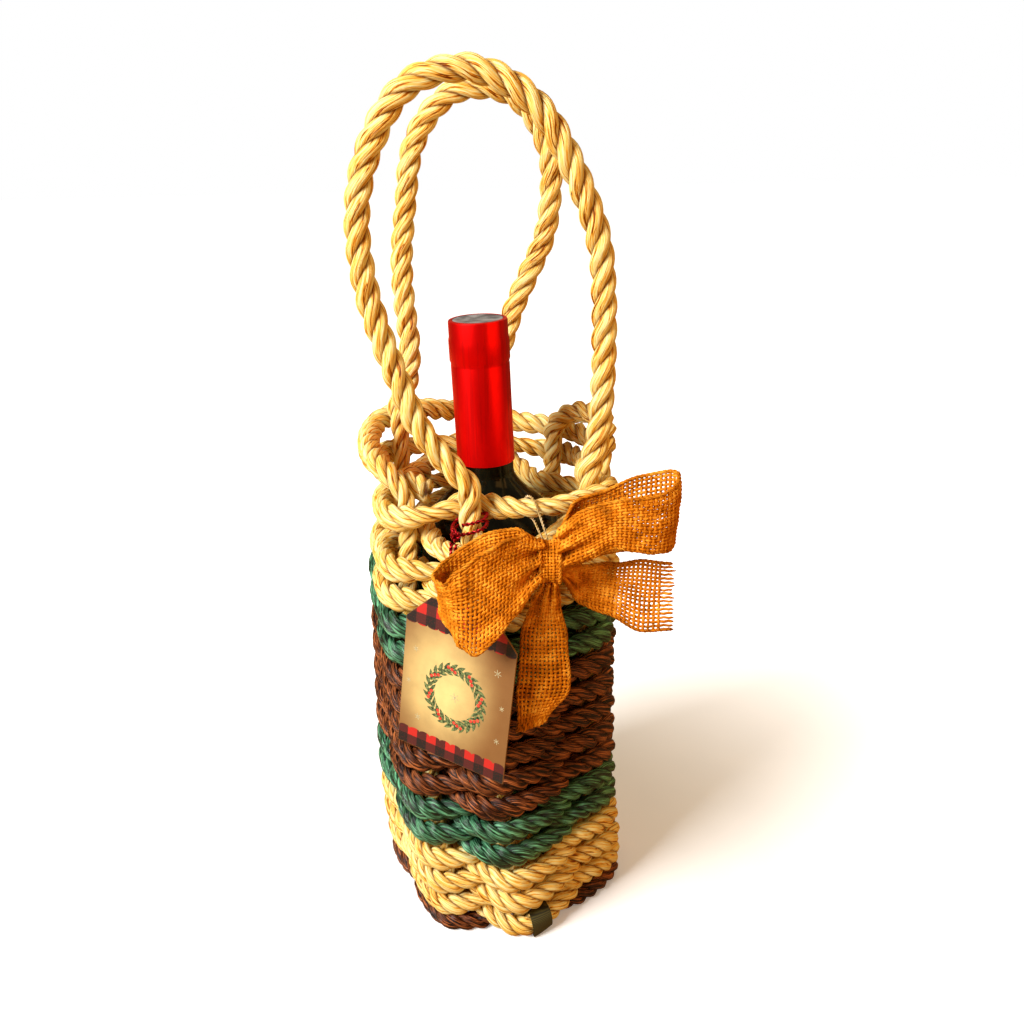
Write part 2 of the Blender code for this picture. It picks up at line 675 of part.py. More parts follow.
def bow_twine(look):
    """The twine that hangs the bow's knot on the rim rope: a closed loop round the rope."""
    place = crossing(RIM_ROW * STAKES + 1)
    before = passing(RIM_ROW * STAKES + 1, WRAP_LENGTH / 2)
    centre = place[0].lerp(before[0], TWINE_PLACE_SHARE)
    side = place[1]
    out = place[3] + TWINE_DIAMETER / 2 + CLEARANCE
    up = FLOAT_HEIGHT / 2 + TWINE_DIAMETER / 2
    down = (place[4] + before[4]) / 2 + TWINE_DIAMETER / 2 + CLEARANCE
    knot = Vector((BOW_X, BOW_Y + KNOT_DEPTH / 2 + TWINE_DIAMETER * 0.6, BOW_Z + KNOT_HEIGHT * 0.2))
    points = []
    for turned, reach in TWINE_LOOP_SHARES:
        height = math.sin(math.radians(turned)) * (up if turned < 180 else down)
        points.append(centre + side * (math.cos(math.radians(turned)) * out * reach) + Vector((0, 0, height)))
    lowest = points[-1]
    points.append(lowest.lerp(knot, 0.4) - Vector((0, 0, TWINE_DIAMETER * 0.5)))
    points.append(lowest.lerp(knot, 0.75) - Vector((0, 0, TWINE_DIAMETER * 0.7)))
    points.append(knot - Vector((0, 0, TWINE_DIAMETER * 0.9)))
    points.append(knot + Vector((0, 0, TWINE_DIAMETER * 0.9)))
    points.append(points[0].lerp(knot, 0.6) + Vector((0, 0, TWINE_DIAMETER * 1.2)))
    return cord("bow_twine", points, TWINE_DIAMETER, look, cyclic=True)


def tag_frame():
    turned = Matrix.Rotation(math.radians(TAG_TURN), 4, "Z")
    tilted = Matrix.Rotation(math.radians(-TAG_TILT), 4, "X")
    rolled = Matrix.Rotation(math.radians(TAG_ROLL), 4, "Y")
    return Matrix.Translation((TAG_X, TAG_Y, TAG_Z)) @ turned @ tilted @ rolled


def tag_outline():
    half = TAG_WIDTH / 2
    top = TAG_HEIGHT / 2
    return (
        (-half, -top), (half, -top), (half, top - TAG_CHAMFER), (half - TAG_CHAMFER, top),
        (-half + TAG_CHAMFER, top), (-half, top - TAG_CHAMFER),
    )


def hang_tag(look):
    """A card with two cut corners and a round hole under its top edge."""
    shape = bmesh.new()
    corners = [shape.verts.new((x, -TAG_THICKNESS / 2, z)) for x, z in tag_outline()]
    face = shape.faces.new(corners)
    grown = bmesh.ops.extrude_face_region(shape, geom=[face])
    moved = [item for item in grown["geom"] if isinstance(item, bmesh.types.BMVert)]
    bmesh.ops.translate(shape, verts=moved, vec=(0, TAG_THICKNESS, 0))
    made = finish("hang_tag", shape, look)
    cutter_mesh = bmesh.new()
    bmesh.ops.create_cone(
        cutter_mesh, cap_ends=True, segments=16, radius1=TAG_HOLE_RADIUS, radius2=TAG_HOLE_RADIUS,
        depth=TAG_THICKNESS * 4, matrix=Matrix.Rotation(math.radians(90), 4, "X"),
    )
    cutter = finish("tag_hole_cutter", cutter_mesh, look)
    cutter.parent = made
    cutter.location = (0, 0, TAG_HEIGHT / 2 - TAG_HOLE_DROP)
    cutter.hide_render = True
    cutter.display_type = "WIRE"
    hole = made.modifiers.new("hole", "BOOLEAN")
    hole.object = cutter
    hole.operation = "DIFFERENCE"
    made.matrix_world = tag_frame()
    return made


def cord_knot_place():
    """The tag cord's knot lies in front of the front left stake, between the last two rows."""
    angle = stake_angle(1, CORD_KNOT_HEIGHT)
    centre = stake_point(1, CORD_KNOT_HEIGHT)
    return centre + outward(angle) * CORD_KNOT_REACH - along(angle) * CORD_KNOT_SHIFT


def tag_cord_parts(look):
    """The red cord: a ring round the stake, a knot in front of it and a doubled strand through the tag."""
    height = CORD_KNOT_HEIGHT
    angle = stake_angle(1, height)
    centre = stake_point(1, height)
    radial = STAKE_THICKNESS / 2 + CORD_LOOP_GAP + CORD_DIAMETER / 2
    across = STAKE_WIDTH / 2 + CORD_LOOP_GAP + CORD_DIAMETER / 2
    front = CORD_KNOT_REACH - CORD_KNOT_DIAMETER / 2 - CLEARANCE - CORD_DIAMETER / 2
    ring = []
    for turned, out, side in CORD_RING_SHARES:
        reach = front if turned else radial
        ring.append(centre + outward(angle) * (reach * out) + along(angle) * (across * side))
    cord("tag_cord_loop", ring, CORD_DIAMETER, look, cyclic=True)

    knot_shape = bmesh.new()
    bmesh.ops.create_icosphere(knot_shape, subdivisions=1, radius=CORD_KNOT_DIAMETER / 2)
    knot = finish("tag_cord_knot", knot_shape, look, smooth=True)
    knot.location = cord_knot_place()

    frame = tag_frame()
    hole = frame @ Vector((0, 0, TAG_HEIGHT / 2 - TAG_HOLE_DROP))
    forward = (frame.to_3x3() @ Vector((0, -1, 0))).normalized()
    across_tag = (frame.to_3x3() @ Vector((1, 0, 0))).normalized()
    start = cord_knot_place() - Vector((0, 0, CORD_KNOT_DIAMETER * 0.47 + CLEARANCE))
    start += forward * CORD_STRAND_LEAD
    gap = across_tag * (CORD_DIAMETER * 0.65)
    over = TAG_THICKNESS / 2 + CORD_DIAMETER / 2 + CLEARANCE
    brow = frame @ Vector((0, 0, TAG_HEIGHT / 2))
    down = Vector((0, 0, -TAG_HOLE_RADIUS * 0.25))
    strand = [
        start - gap,
        start.lerp(brow, 0.15) - gap + forward * CORD_STRAND_BULGE,
        start.lerp(brow, 0.5) - gap + forward * CORD_STRAND_BULGE,
        brow - gap + forward * over,
        hole - gap * 0.6 + forward * over * 1.02,
        hole + down - gap * 0.2 + forward * over * 0.75,
        hole + down,
        hole + down + gap * 0.2 - forward * over * 0.75,
        hole + gap * 0.6 - forward * over * 1.02,
        brow + gap - forward * over,
        start.lerp(brow, 0.5) + gap + forward * (CORD_STRAND_BULGE * 0.6),
        start.lerp(brow, 0.15) + gap + forward * CORD_STRAND_BULGE,
        start + gap,
    ]
    cord("tag_cord_strand", smooth_route(strand, 44), CORD_DIAMETER, look)


def rope_band(look):
    """A flat band sewn round the lowest weaving rope, right of the front left stake."""
    start = passing(STAKES + 1, WRAP_LENGTH / 2)
    end = crossing(STAKES + 1)
    rings = []
    shape = bmesh.new()
    for share in (BAND_FROM_SHARE, (BAND_FROM_SHARE + BAND_TO_SHARE) / 2, BAND_TO_SHARE):
        centre = start[0].lerp(end[0], share)
        side = start[1].lerp(end[1], share).normalized()
        up = start[2].lerp(end[2], share).normalized()
        half_width = start[3] * (1 - share) + end[3] * share
        half_height = start[4] * (1 - share) + end[4] * share
        pair = []
        for extra in (BAND_CLEARANCE, BAND_CLEARANCE + BAND_THICKNESS):
            ring = []
            for a, b in ROPE_OUTLINE:
                reach_a = a * (half_width + extra)
                reach_b = b * (half_height + extra)
                ring.append(shape.verts.new(centre + side * reach_a + up * reach_b))
            pair.append(ring)
        rings.append(pair)
    count = len(ROPE_OUTLINE)
    for first, second in zip(rings, rings[1:]):
        for inner_or_outer in (0, 1):
            a = first[inner_or_outer]
            b = second[inner_or_outer]
            for i in range(count):
                shape.faces.new((a[i], a[(i + 1) % count], b[(i + 1) % count], b[i]))
    for pair in (rings[0], rings[-1]):
        for i in range(count):
            j = (i + 1) % count
            shape.faces.new((pair[0][i], pair[0][j], pair[1][j], pair[1][i]))
    return finish("rope_band", shape, look)


def bottle_pose():
    """The bottle leans a little in its pocket."""
    lean = Vector((BOTTLE_LEAN_X, BOTTLE_LEAN_Y, SHOULDER_HEIGHT)).normalized()
    turned = Vector((0, 0, 1)).rotation_difference(lean).to_matrix().to_4x4()
    return Matrix.Translation((BOTTLE_FOOT_X, BOTTLE_FOOT_Y, BOTTLE_FOOT_Z)) @ turned


def bottle_parts():
    glass = material("bottle_glass", (0.01, 0.02, 0.01), 0.05, alpha=0.6)
    foil = material("foil", (0.62, 0.01, 0.01), 0.32, metallic=0.75)
    pale = material("foil_disc", (0.45, 0.50, 0.62), 0.3, metallic=0.5)
    cork_look = material("cork", (0.55, 0.36, 0.2), 0.8)
    wine_look = material("wine", (0.10, 0.0, 0.01), 0.05, alpha=0.8)
    neck_foot = BOTTLE_HEIGHT - NECK_LENGTH
    rise = neck_foot - SHOULDER_HEIGHT
    drop = BOTTLE_RADIUS - NECK_RADIUS
    lip = CAPSULE_DISC_THICKNESS + CLEARANCE
    top = BOTTLE_HEIGHT - lip
    outer = [
        (0, PUNT_HEIGHT), (PUNT_RADIUS / 2, PUNT_HEIGHT * 0.8), (PUNT_RADIUS, 0),
        (BOTTLE_RADIUS - HEEL_RADIUS, 0), (BOTTLE_RADIUS - HEEL_RADIUS * 0.3, HEEL_RADIUS * 0.3),
        (BOTTLE_RADIUS, HEEL_RADIUS), (BOTTLE_RADIUS, SHOULDER_HEIGHT),
        (BOTTLE_RADIUS - drop * 0.07, SHOULDER_HEIGHT + rise * 0.18),
        (BOTTLE_RADIUS - drop * 0.25, SHOULDER_HEIGHT + rise * 0.38),
        (BOTTLE_RADIUS - drop * 0.52, SHOULDER_HEIGHT + rise * 0.56),
        (BOTTLE_RADIUS - drop * 0.78, SHOULDER_HEIGHT + rise * 0.74),
        (BOTTLE_RADIUS - drop * 0.94, SHOULDER_HEIGHT + rise * 0.90),
        (NECK_RADIUS, neck_foot), (NECK_RADIUS, top),
    ]
    inside = BOTTLE_RADIUS - BOTTLE_WALL
    inner_drop = inside - BORE_RADIUS
    bore = [
        (inside, HEEL_RADIUS + BOTTLE_WALL), (inside, SHOULDER_HEIGHT),
        (inside - inner_drop * 0.25, SHOULDER_HEIGHT + rise * 0.36),
        (inside - inner_drop * 0.78, SHOULDER_HEIGHT + rise * 0.72),
        (BORE_RADIUS, neck_foot),
    ]
    floor = [
        (0, PUNT_HEIGHT + BOTTLE_WALL), (PUNT_RADIUS / 2, PUNT_HEIGHT * 0.8 + BOTTLE_WALL), (PUNT_RADIUS, BOTTLE_WALL),
    ]
    glass_solid = turn("bottle_glass", outer + [(BORE_RADIUS, top)] + bore[::-1] + floor[::-1], glass)
    fill = [(radius, height + CLEARANCE) for radius, height in floor]
    fill += [(radius - CLEARANCE, height) for radius, height in bore]
    wine_level = top - CORK_LENGTH - WINE_HEADSPACE
    fill += [(BORE_RADIUS - CLEARANCE, wine_level), (0, wine_level)]
    wine_solid = turn("wine_fill", fill, wine_look)
    cork_radius = BORE_RADIUS - CLEARANCE
    cork_solid = turn(
        "bottle_cork",
        [(0, top - CORK_LENGTH), (cork_radius, top - CORK_LENGTH), (cork_radius, top), (0, top)],
        cork_look,
    )
    capsule_foot = BOTTLE_HEIGHT - CAPSULE_LENGTH
    bead = BOTTLE_HEIGHT - NECK_RADIUS * 0.8
    sleeve = NECK_RADIUS + CLEARANCE
    flange = CAPSULE_DISC_RADIUS + CLEARANCE
    capsule_solid = turn(
        "capsule_foil",
        [
            (sleeve, capsule_foot), (CAPSULE_RADIUS, capsule_foot),
            (CAPSULE_RADIUS, bead - NECK_RADIUS * 0.75),
            (CAPSULE_RADIUS + CAPSULE_BEAD, bead - NECK_RADIUS * 0.6),
            (CAPSULE_RADIUS + CAPSULE_BEAD, bead + NECK_RADIUS * 0.1),
            (CAPSULE_RADIUS, bead + NECK_RADIUS * 0.2),
            (CAPSULE_RADIUS - CAPSULE_BEAD, BOTTLE_HEIGHT - CAPSULE_BEAD),
            (CAPSULE_RADIUS - CAPSULE_BEAD * 3, BOTTLE_HEIGHT),
            (flange, BOTTLE_HEIGHT), (flange, top + CLEARANCE), (sleeve, top + CLEARANCE),
        ],
        foil,
    )
    disc_solid = turn(
        "capsule_disc",
        [
            (0, top + CLEARANCE), (CAPSULE_DISC_RADIUS, top + CLEARANCE),
            (CAPSULE_DISC_RADIUS, BOTTLE_HEIGHT), (0, BOTTLE_HEIGHT),
        ],
        pale,
    )
    pose = bottle_pose()
    for solid in (glass_solid, wine_solid, cork_solid, capsule_solid, disc_solid):
        solid.matrix_world = pose


def hinge_feet(numbers, height):
    """Points of a handle's hinge line, over its two stakes."""
    feet = []
    for number in numbers:
        feet.append(stake_point(number, height))
    return feet


def main():
    for old in list(bpy.data.objects):
        bpy.data.objects.remove(old, do_unlink=True)

    natural = material("natural_rope", NATURAL_ROPE, 0.6)
    green = material("green_rope", GREEN_ROPE, 0.35)
    brown = material("brown_rope", BROWN_ROPE, 0.45)
    burlap = material("burlap", BURLAP, 0.85)
    red_cord = material("red_cord", (0.55, 0.01, 0.02), 0.35, metallic=0.4)
    card = material("tag_card", (0.86, 0.76, 0.52), 0.6)
    twine = material("twine", (0.75, 0.66, 0.5), 0.7)
    olive = material("band_cloth", (0.10, 0.09, 0.03), 0.6)

    row = STAKES
    flat = base_coil_stations() + weaving_stations(0, COIL_ROW_STAKES - 1, False, False)
    raised = weaving_stations(COIL_ROW_STAKES - 1, row, False, True)[2:]
    outlines = [FLAT_FOOT_OUTLINE] * len(flat) + [NARROW_FOOT_OUTLINE] * len(raised)
    sweep("base_coil", flat + raised, outlines, brown)
    bands = (
        ("weave_natural_low", 1, 7, natural), ("weave_green_low", 7, 11, green),
        ("weave_brown", 11, 21, brown), ("weave_green_high", 21, 25, green),
    )
    for name, first, last, look in bands:
        sweep(name, weaving_stations(first * row, last * row, True, True), ROPE_OUTLINE, look)
    sweep("weave_rim", weaving_stations(25 * row, (RIM_ROW + 1) * row, True, False), ROPE_OUTLINE, natural)

    foot = ROPE_DIAMETER / 2 + STAKE_TOP_GAP
    for name, number, hinge in (
        ("stake_front_left", 1, FRONT_HINGE_HEIGHT), ("stake_front_right", 2, FRONT_HINGE_HEIGHT),
        ("stake_back_right", 5, BACK_HINGE_HEIGHT), ("stake_back_left", 6, BACK_HINGE_HEIGHT),
    ):
        sweep(name, stake_stations(number, hinge - foot), ROPE_OUTLINE, natural)
    sweep("stake_left_back_rope", left_rope_stations(), ROPE_OUTLINE, natural)
    sweep("stake_right_loop", right_loop_stations(), ROPE_OUTLINE, natural)

    front = hinge_feet((1, 2), FRONT_HINGE_HEIGHT)
    back = hinge_feet((6, 5), BACK_HINGE_HEIGHT)
    handle("handle_front", front, FRONT_HANDLE_SHARES, FRONT_HINGE_HEIGHT, FRONT_HANDLE_RISE, natural)
    handle("handle_back", back, BACK_HANDLE_SHARES, BACK_HINGE_HEIGHT, BACK_HANDLE_RISE, natural)

    ribbon("bow_loop_left", LEFT_LOOP_SHARES, burlap)
    ribbon("bow_loop_right", RIGHT_LOOP_SHARES, burlap)
    ribbon("bow_tail_right", RIGHT_TAIL_SHARES, burlap)
    ribbon("bow_tail_centre", CENTRE_TAIL_SHARES, burlap)
    bow_knot(burlap)
    bow_twine(twine)

    hang_tag(card)
    tag_cord_parts(red_cord)
    rope_band(olive)
    bottle_parts()


main()
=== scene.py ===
"""Looks of a woven rope bottle wrap: laid rope, burlap bow, printed tag on a metallic cord,
and a wine bottle with a foil capsule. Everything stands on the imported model's frame."""

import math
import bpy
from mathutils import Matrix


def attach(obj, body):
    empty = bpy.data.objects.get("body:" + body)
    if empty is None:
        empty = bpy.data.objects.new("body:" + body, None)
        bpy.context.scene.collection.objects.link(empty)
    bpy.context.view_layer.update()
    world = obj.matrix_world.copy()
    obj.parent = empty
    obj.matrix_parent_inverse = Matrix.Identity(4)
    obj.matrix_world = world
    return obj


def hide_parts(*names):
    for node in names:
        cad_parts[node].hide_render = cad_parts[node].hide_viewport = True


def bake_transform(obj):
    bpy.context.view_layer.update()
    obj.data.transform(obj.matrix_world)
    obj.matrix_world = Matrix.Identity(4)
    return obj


bl_info = {
    "name": "Rope Bottle Wrap",
    "version": (1, 0, 0),
    "blender": (4, 5, 0),
    "location": "View3D > Sidebar > Bottle Wrap",
    "description": "Models the rope, ribbon, tag and bottle of a woven bottle wrap",
    "category": "Add Mesh",
}

import bpy
from mathutils import Matrix, Vector, noise

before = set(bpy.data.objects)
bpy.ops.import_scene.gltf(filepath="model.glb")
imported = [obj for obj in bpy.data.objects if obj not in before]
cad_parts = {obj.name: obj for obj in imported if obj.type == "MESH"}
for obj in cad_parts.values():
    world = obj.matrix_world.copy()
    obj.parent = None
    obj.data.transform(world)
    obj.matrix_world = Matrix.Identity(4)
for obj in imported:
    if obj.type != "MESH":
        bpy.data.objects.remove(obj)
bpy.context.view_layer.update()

MM = 0.001

# Rope in the wall
ROPE_DIAMETER = 12.0 * MM
FLOAT_WIDTH = 9.2 * MM
FLOAT_HEIGHT = 11.8 * MM
CROSSING_WIDTH = 12.4 * MM
CROSSING_HEIGHT = 7.15 * MM
CROSSING_GAP = 0.3 * MM
STAKE_THICKNESS = 8.6 * MM
STAKE_WIDTH = 11.2 * MM
STAKE_GAP = 0.45 * MM
WRAP_LENGTH = 9.2 * MM
JOIN_GAP = 0.4 * MM
CLEARANCE = 0.3 * MM
FLOAT_SWELL = 1.17
CROSSING_SWELL = 1.16

# Bottle, from its foot
BOTTLE_RADIUS = 36.5 * MM
BOTTLE_HEIGHT = 313.0 * MM
SHOULDER_HEIGHT = 204.0 * MM
NECK_RADIUS = 13.8 * MM
NECK_LENGTH = 77.0 * MM
HEEL_RADIUS = 4.0 * MM
PUNT_HEIGHT = 11.0 * MM
PUNT_RADIUS = 27.0 * MM
CAPSULE_LENGTH = 72.0 * MM
CAPSULE_RADIUS = 14.6 * MM
CAPSULE_BEAD = 0.4 * MM
CAPSULE_DISC_RADIUS = 12.3 * MM
CAPSULE_DISC_THICKNESS = 0.5 * MM
FOIL_EDGE = 0.25 * MM
PUNT_SHARES = ((0.1, 1.0), (0.5, 0.8), (0.85, 0.35), (1.0, 0.0))
HEEL_SHARES = ((1.0, 0.0), (0.3, 0.3), (0.0, 1.0))
# Out from the capsule's wall, and down from its top in neck radii
CAPSULE_BEAD_SHARES = (
    (0.0, 1.60), (-FOIL_EDGE, 1.54), (CAPSULE_BEAD, 1.42), (CAPSULE_BEAD, 0.70), (0.0, 0.58),
)
DISC_START_SHARE = 0.05
DISC_SHARES = ((1.0, 0.5), (0.97, 0.2), (0.80, 1.0), (0.05, 1.0))
BOTTLE_FOOT_X = 2.4 * MM
BOTTLE_FOOT_Y = -1.4 * MM
BOTTLE_LEAN_X = -5.8 * MM
BOTTLE_LEAN_Y = 1.6 * MM

# Wall of the wrap
POCKET_CLEARANCE = 4.9 * MM
BASE_TAPER = 2.9 * MM
TAPER_HEIGHT = 45.0 * MM
WALL_LEAN = 4.0 * MM
LEAN_START_HEIGHT = 84.0 * MM
LEAN_END_HEIGHT = 187.0 * MM
LEAN_END_LENGTH = 50.0 * MM
BASE_ROPE_HEIGHT = 9.4 * MM
LOOSE_ROW_PITCH = 13.4 * MM
LAST_ROW_PITCH = 8.3 * MM
TWIST_HEIGHT = 240.0 * MM
TIGHT_ROWS = 28
RIM_ROW = 30
STAKE_ANGLES = (-31.0, 8.0, 75.0, 113.0, 165.0, 211.0, 265.0)
STAKE_TWIST = -21.0
# Each row begins at the back, this many stakes before its first one
ROW_LEAD_STAKES = 2.5
FLOAT_DIP_SHARES = (
    0.0, 0.0, 0.0, -0.10, -0.64, -0.45, -0.25, -0.28, -0.28, -0.28,
    -0.30, -0.30, -0.30, -0.25, -0.28, -0.28, -0.28, -0.28, -0.24, -0.22, -0.20,
    -0.18, -0.15, -0.12, -0.10, -0.08, -0.06, -0.04, -0.02, -0.02,
)
RIM_LIFT_SHARES = (-0.10, 0.67, 0.87, 0.40, -0.20)

# Handles, from their hinge line: across and back in spreads, up in rises
FRONT_HINGE_HEIGHT = 256.0 * MM
BACK_HINGE_HEIGHT = 274.0 * MM
HANDLE_SPREAD = 50.0 * MM
FRONT_HANDLE_RISE = 177.3 * MM
BACK_HANDLE_RISE = 154.0 * MM
FRONT_HANDLE_SHARES = (
    (-0.352, -1.044, 0.039), (-0.502, -1.004, 0.085), (-0.612, -0.992, 0.132), (-0.712, -0.98, 0.179),
    (-0.844, -0.956, 0.283), (-0.964, -0.932, 0.384), (-1.054, -0.92, 0.482), (-1.106, -0.92, 0.578),
    (-1.108, -0.92, 0.672), (-1.058, -0.92, 0.762), (-0.936, -0.92, 0.849), (-0.752, -0.92, 0.934),
    (-0.516, -0.92, 0.981), (-0.192, -0.92, 1.0), (0.128, -0.92, 0.977), (0.448, -0.92, 0.91),
    (0.694, -0.92, 0.796), (0.868, -0.886, 0.681), (0.982, -0.82, 0.561), (1.016, -0.754, 0.359),
    (1.008, -0.698, 0.192), (0.968, -0.668, 0.079),
)
BACK_HANDLE_SHARES = (
    (-0.932, 0.59, 0.042), (-0.872, 0.73, 0.117), (-0.868, 0.778, 0.209), (-0.904, 0.82, 0.376),
    (-0.9, 0.87, 0.472), (-0.876, 0.92, 0.568), (-0.828, 0.92, 0.663), (-0.79, 0.92, 0.756),
    (-0.726, 0.92, 0.832), (-0.596, 0.92, 0.907), (-0.43, 0.92, 0.964), (-0.24, 0.92, 0.994),
    (0.04, 0.92, 1.0), (0.28, 0.92, 0.974), (0.48, 0.92, 0.909), (0.618, 0.92, 0.808),
    (0.648, 0.934, 0.715), (0.594, 0.96, 0.555), (0.424, 0.986, 0.424), (0.238, 1.014, 0.288),
    (0.11, 1.04, 0.165), (-0.072, 1.068, 0.055),
)

# Left rope bent over the rim and laid along the back
BACK_ROPE_HEIGHT = 258.0 * MM
BACK_ROPE_ANGLES = (
    -62, -75, -90, -104, -116, -130, -144, -156, -170, -182, -194, -207, -217, -230, -240, -251,
)
BACK_ROPE_RADIUS_SHARES = (
    0.26, 0.50, 0.68, 0.89, 1.04, 0.92, 0.80, 0.77, 1.04, 0.92, 0.75, 0.95, 1.04, 0.92, 0.76, 0.62,
)
BACK_ROPE_HEIGHT_SHARES = (
    -0.25, 0.00, 0.25, 0.42, 0.58, 0.67, 0.58, 0.33, 0.08, -0.25, -0.42, -0.53, -0.63, -0.70, -0.73, -0.75,
)

# Right rope bent over the back rope from one stake to the next
LOOP_HEIGHT = 263.0 * MM
LOOP_ANGLES = (144.0, 139.5, 131.0, 121.0, 110.0, 99.5, 93.5)
LOOP_RADIUS_SHARES = (-0.04, 0.05, 0.27, 0.43, 0.44, 0.24, 0.04)
LOOP_HEIGHT_SHARES = (-0.88, -0.29, 0.13, 0.25, 0.22, -0.17, -0.75)

# Coil of the base
COIL_PITCH = 10.7 * MM
COIL_ROPE_WIDTH = 10.2 * MM
COIL_START_LENGTH = 2.6 * MM
COIL_START_WIDTH = 7.0 * MM
COIL_TURN_SHARES = (
    (180, 0.51), (225, 0.77), (270, 0.90), (315, 0.94), (360, 0.955), (405, 0.99), (450, 1.05), (495, 1.25),
    (540, 1.51),
)
COIL_OUTER_SHARES = ((1170, 3.05), (1215, 3.25), (1240, 3.42), (1257, 3.66), (1273, 4.15))
COIL_STEP = 18
COIL_TIGHT_STEPS = 5
COIL_LOW_STEPS = 4
COIL_WIDEN_START = 2
COIL_WIDEN_STEPS = 4
COIL_ROW_STAKES = 5

# Bow: its middle, and the ribbon's two edges in ribbon widths from the middle
BOW_X = 23.0 * MM
BOW_Y = -82.0 * MM
BOW_Z = 231.0 * MM
RIBBON_WIDTH = 38.0 * MM
KNOT_WIDTH = 7.0 * MM
KNOT_DEPTH = 8.5 * MM
KNOT_HEIGHT = 20.0 * MM
TWINE_DIAMETER = 1.3 * MM
TWINE_PLACE_SHARE = 0.12
TWINE_SEAT_SHARE = 0.78
TWINE_KNOT_REACH = TWINE_DIAMETER * 0.6
TWINE_KNOT_RISE = KNOT_HEIGHT * 0.2
TWINE_LOOP_SHARES = (
    (28, 1.12), (60, 1.05), (90, 1.0), (120, 1.05), (150, 1.12), (180, 1.08), (215, 1.15), (250, 1.0),
    (290, 1.0),
)
# Shares of the way to the bow's knot, with the rise there in twine diameters
TWINE_DOWN_SHARES = ((0.4, -0.5), (0.75, -0.7), (1.0, -0.9))
TWINE_BACK_SHARES = ((1.0, 0.9), (0.6, 1.2))
# The left loop leaves the tag's red cord room to swing.
LEFT_LOOP_FORWARD = 2.2 * MM
LEFT_LOOP_SHARES = (
    ((-0.095, 0.05, 0.20), (-0.095, 0.05, -0.14)),
    ((-0.39, 0.16, 0.35), (-0.39, 0.16, -0.42)),
    ((-0.69, 0.18, 0.30), (-0.69, 0.18, -0.48)),
    ((-0.98, 0.18, 0.15), (-0.98, 0.18, -0.58)),
    ((-1.22, 0.11, 0.00), (-1.22, 0.11, -0.62)),
    ((-1.34, -0.05, -0.10), (-1.29, -0.05, -0.55)),
    ((-1.22, -0.21, -0.14), (-1.18, -0.24, -0.67)),
    ((-1.06, -0.29, 0.06), (-1.06, -0.34, -0.88)),
    ((-0.80, -0.26, 0.24), (-0.88, -0.39, -0.96)),
    ((-0.57, -0.21, 0.35), (-0.67, -0.37, -0.79)),
    ((-0.32, -0.13, 0.39), (-0.43, -0.26, -0.55)),
    ((-0.10, -0.05, 0.30), (-0.15, -0.09, -0.24)),
)
RIGHT_LOOP_SHARES = (
    ((0.093, 0.05, 0.28), (0.093, 0.05, -0.04)),
    ((0.31, 0.22, 0.66), (0.31, 0.22, -0.13)),
    ((0.61, 0.29, 0.73), (0.61, 0.29, -0.06)),
    ((1.08, 0.32, 0.91), (1.08, 0.32, 0.00)),
    ((1.39, 0.27, 0.98), (1.39, 0.27, 0.02)),
    ((1.51, 0.14, 0.99), (1.48, 0.14, 0.16)),
    ((1.45, -0.03, 0.90), (1.42, 0.00, 0.10)),
    ((1.23, -0.16, 0.82), (1.21, -0.11, 0.11)),
    ((1.00, -0.21, 0.81), (0.97, -0.13, 0.15)),
    ((0.67, -0.21, 0.77), (0.70, -0.16, 0.20)),
    ((0.36, -0.16, 0.66), (0.46, -0.13, 0.06)),
    ((0.10, -0.06, 0.42), (0.10, -0.05, -0.10)),
)
RIGHT_TAIL_SHARES = (
    ((0.105, 0.10, -0.10), (0.12, 0.12, -0.24)),
    ((0.38, 0.24, -0.17), (0.39, 0.24, -0.68)),
    ((0.76, 0.27, -0.17), (0.69, 0.27, -0.83)),
    ((1.16, 0.27, -0.14), (1.12, 0.27, -1.08)),
    ((1.47, 0.26, -0.19), (1.50, 0.26, -1.07)),
)
CENTRE_TAIL_SHARES = (
    ((-0.10, 0.00, -0.275), (0.09, 0.02, -0.275)),
    ((-0.21, 0.03, -0.53), (0.12, 0.06, -0.60)),
    ((-0.34, 0.06, -1.04), (0.20, 0.12, -1.10)),
    ((-0.40, 0.08, -1.75), (0.23, 0.14, -1.82)),
    ((-0.42, 0.09, -2.39), (-0.07, 0.12, -2.27)),
)

# Tag and its cord
TAG_WIDTH = 61.5 * MM
TAG_HEIGHT = 82.0 * MM
TAG_THICKNESS = 0.8 * MM
TAG_CHAMFER = 13.0 * MM
TAG_HOLE_RADIUS = 2.4 * MM
TAG_HOLE_DROP = 7.0 * MM
TAG_X = -21.5 * MM
TAG_Y = -73.2 * MM
TAG_Z = 163.2 * MM
TAG_TURN = -32.0
TAG_TILT = 5.0
TAG_ROLL = 5.0
CORD_DIAMETER = 2.0 * MM
CORD_KNOT_DIAMETER = 5.2 * MM
CORD_KNOT_HEIGHT = 237.0 * MM
CORD_KNOT_REACH = 13.0 * MM
CORD_KNOT_SHIFT = 4.0 * MM
CORD_LOOP_GAP = 0.4 * MM
CORD_RING_RISE = 2.4 * MM
CORD_RING_SLANT = 1.6 * MM
CORD_STRAND_LEAD = 1.5 * MM
CORD_STRAND_BULGE = 1.8 * MM
CORD_STRAND_DROP = CORD_KNOT_DIAMETER * 0.47 + CLEARANCE
CORD_STRAND_GAP = CORD_DIAMETER * 0.65
CORD_HOLE_SAG = TAG_HOLE_RADIUS * 0.25
CURL_SIZE = CORD_KNOT_DIAMETER * 0.13
CURL_DIAMETER = CORD_DIAMETER * 0.9
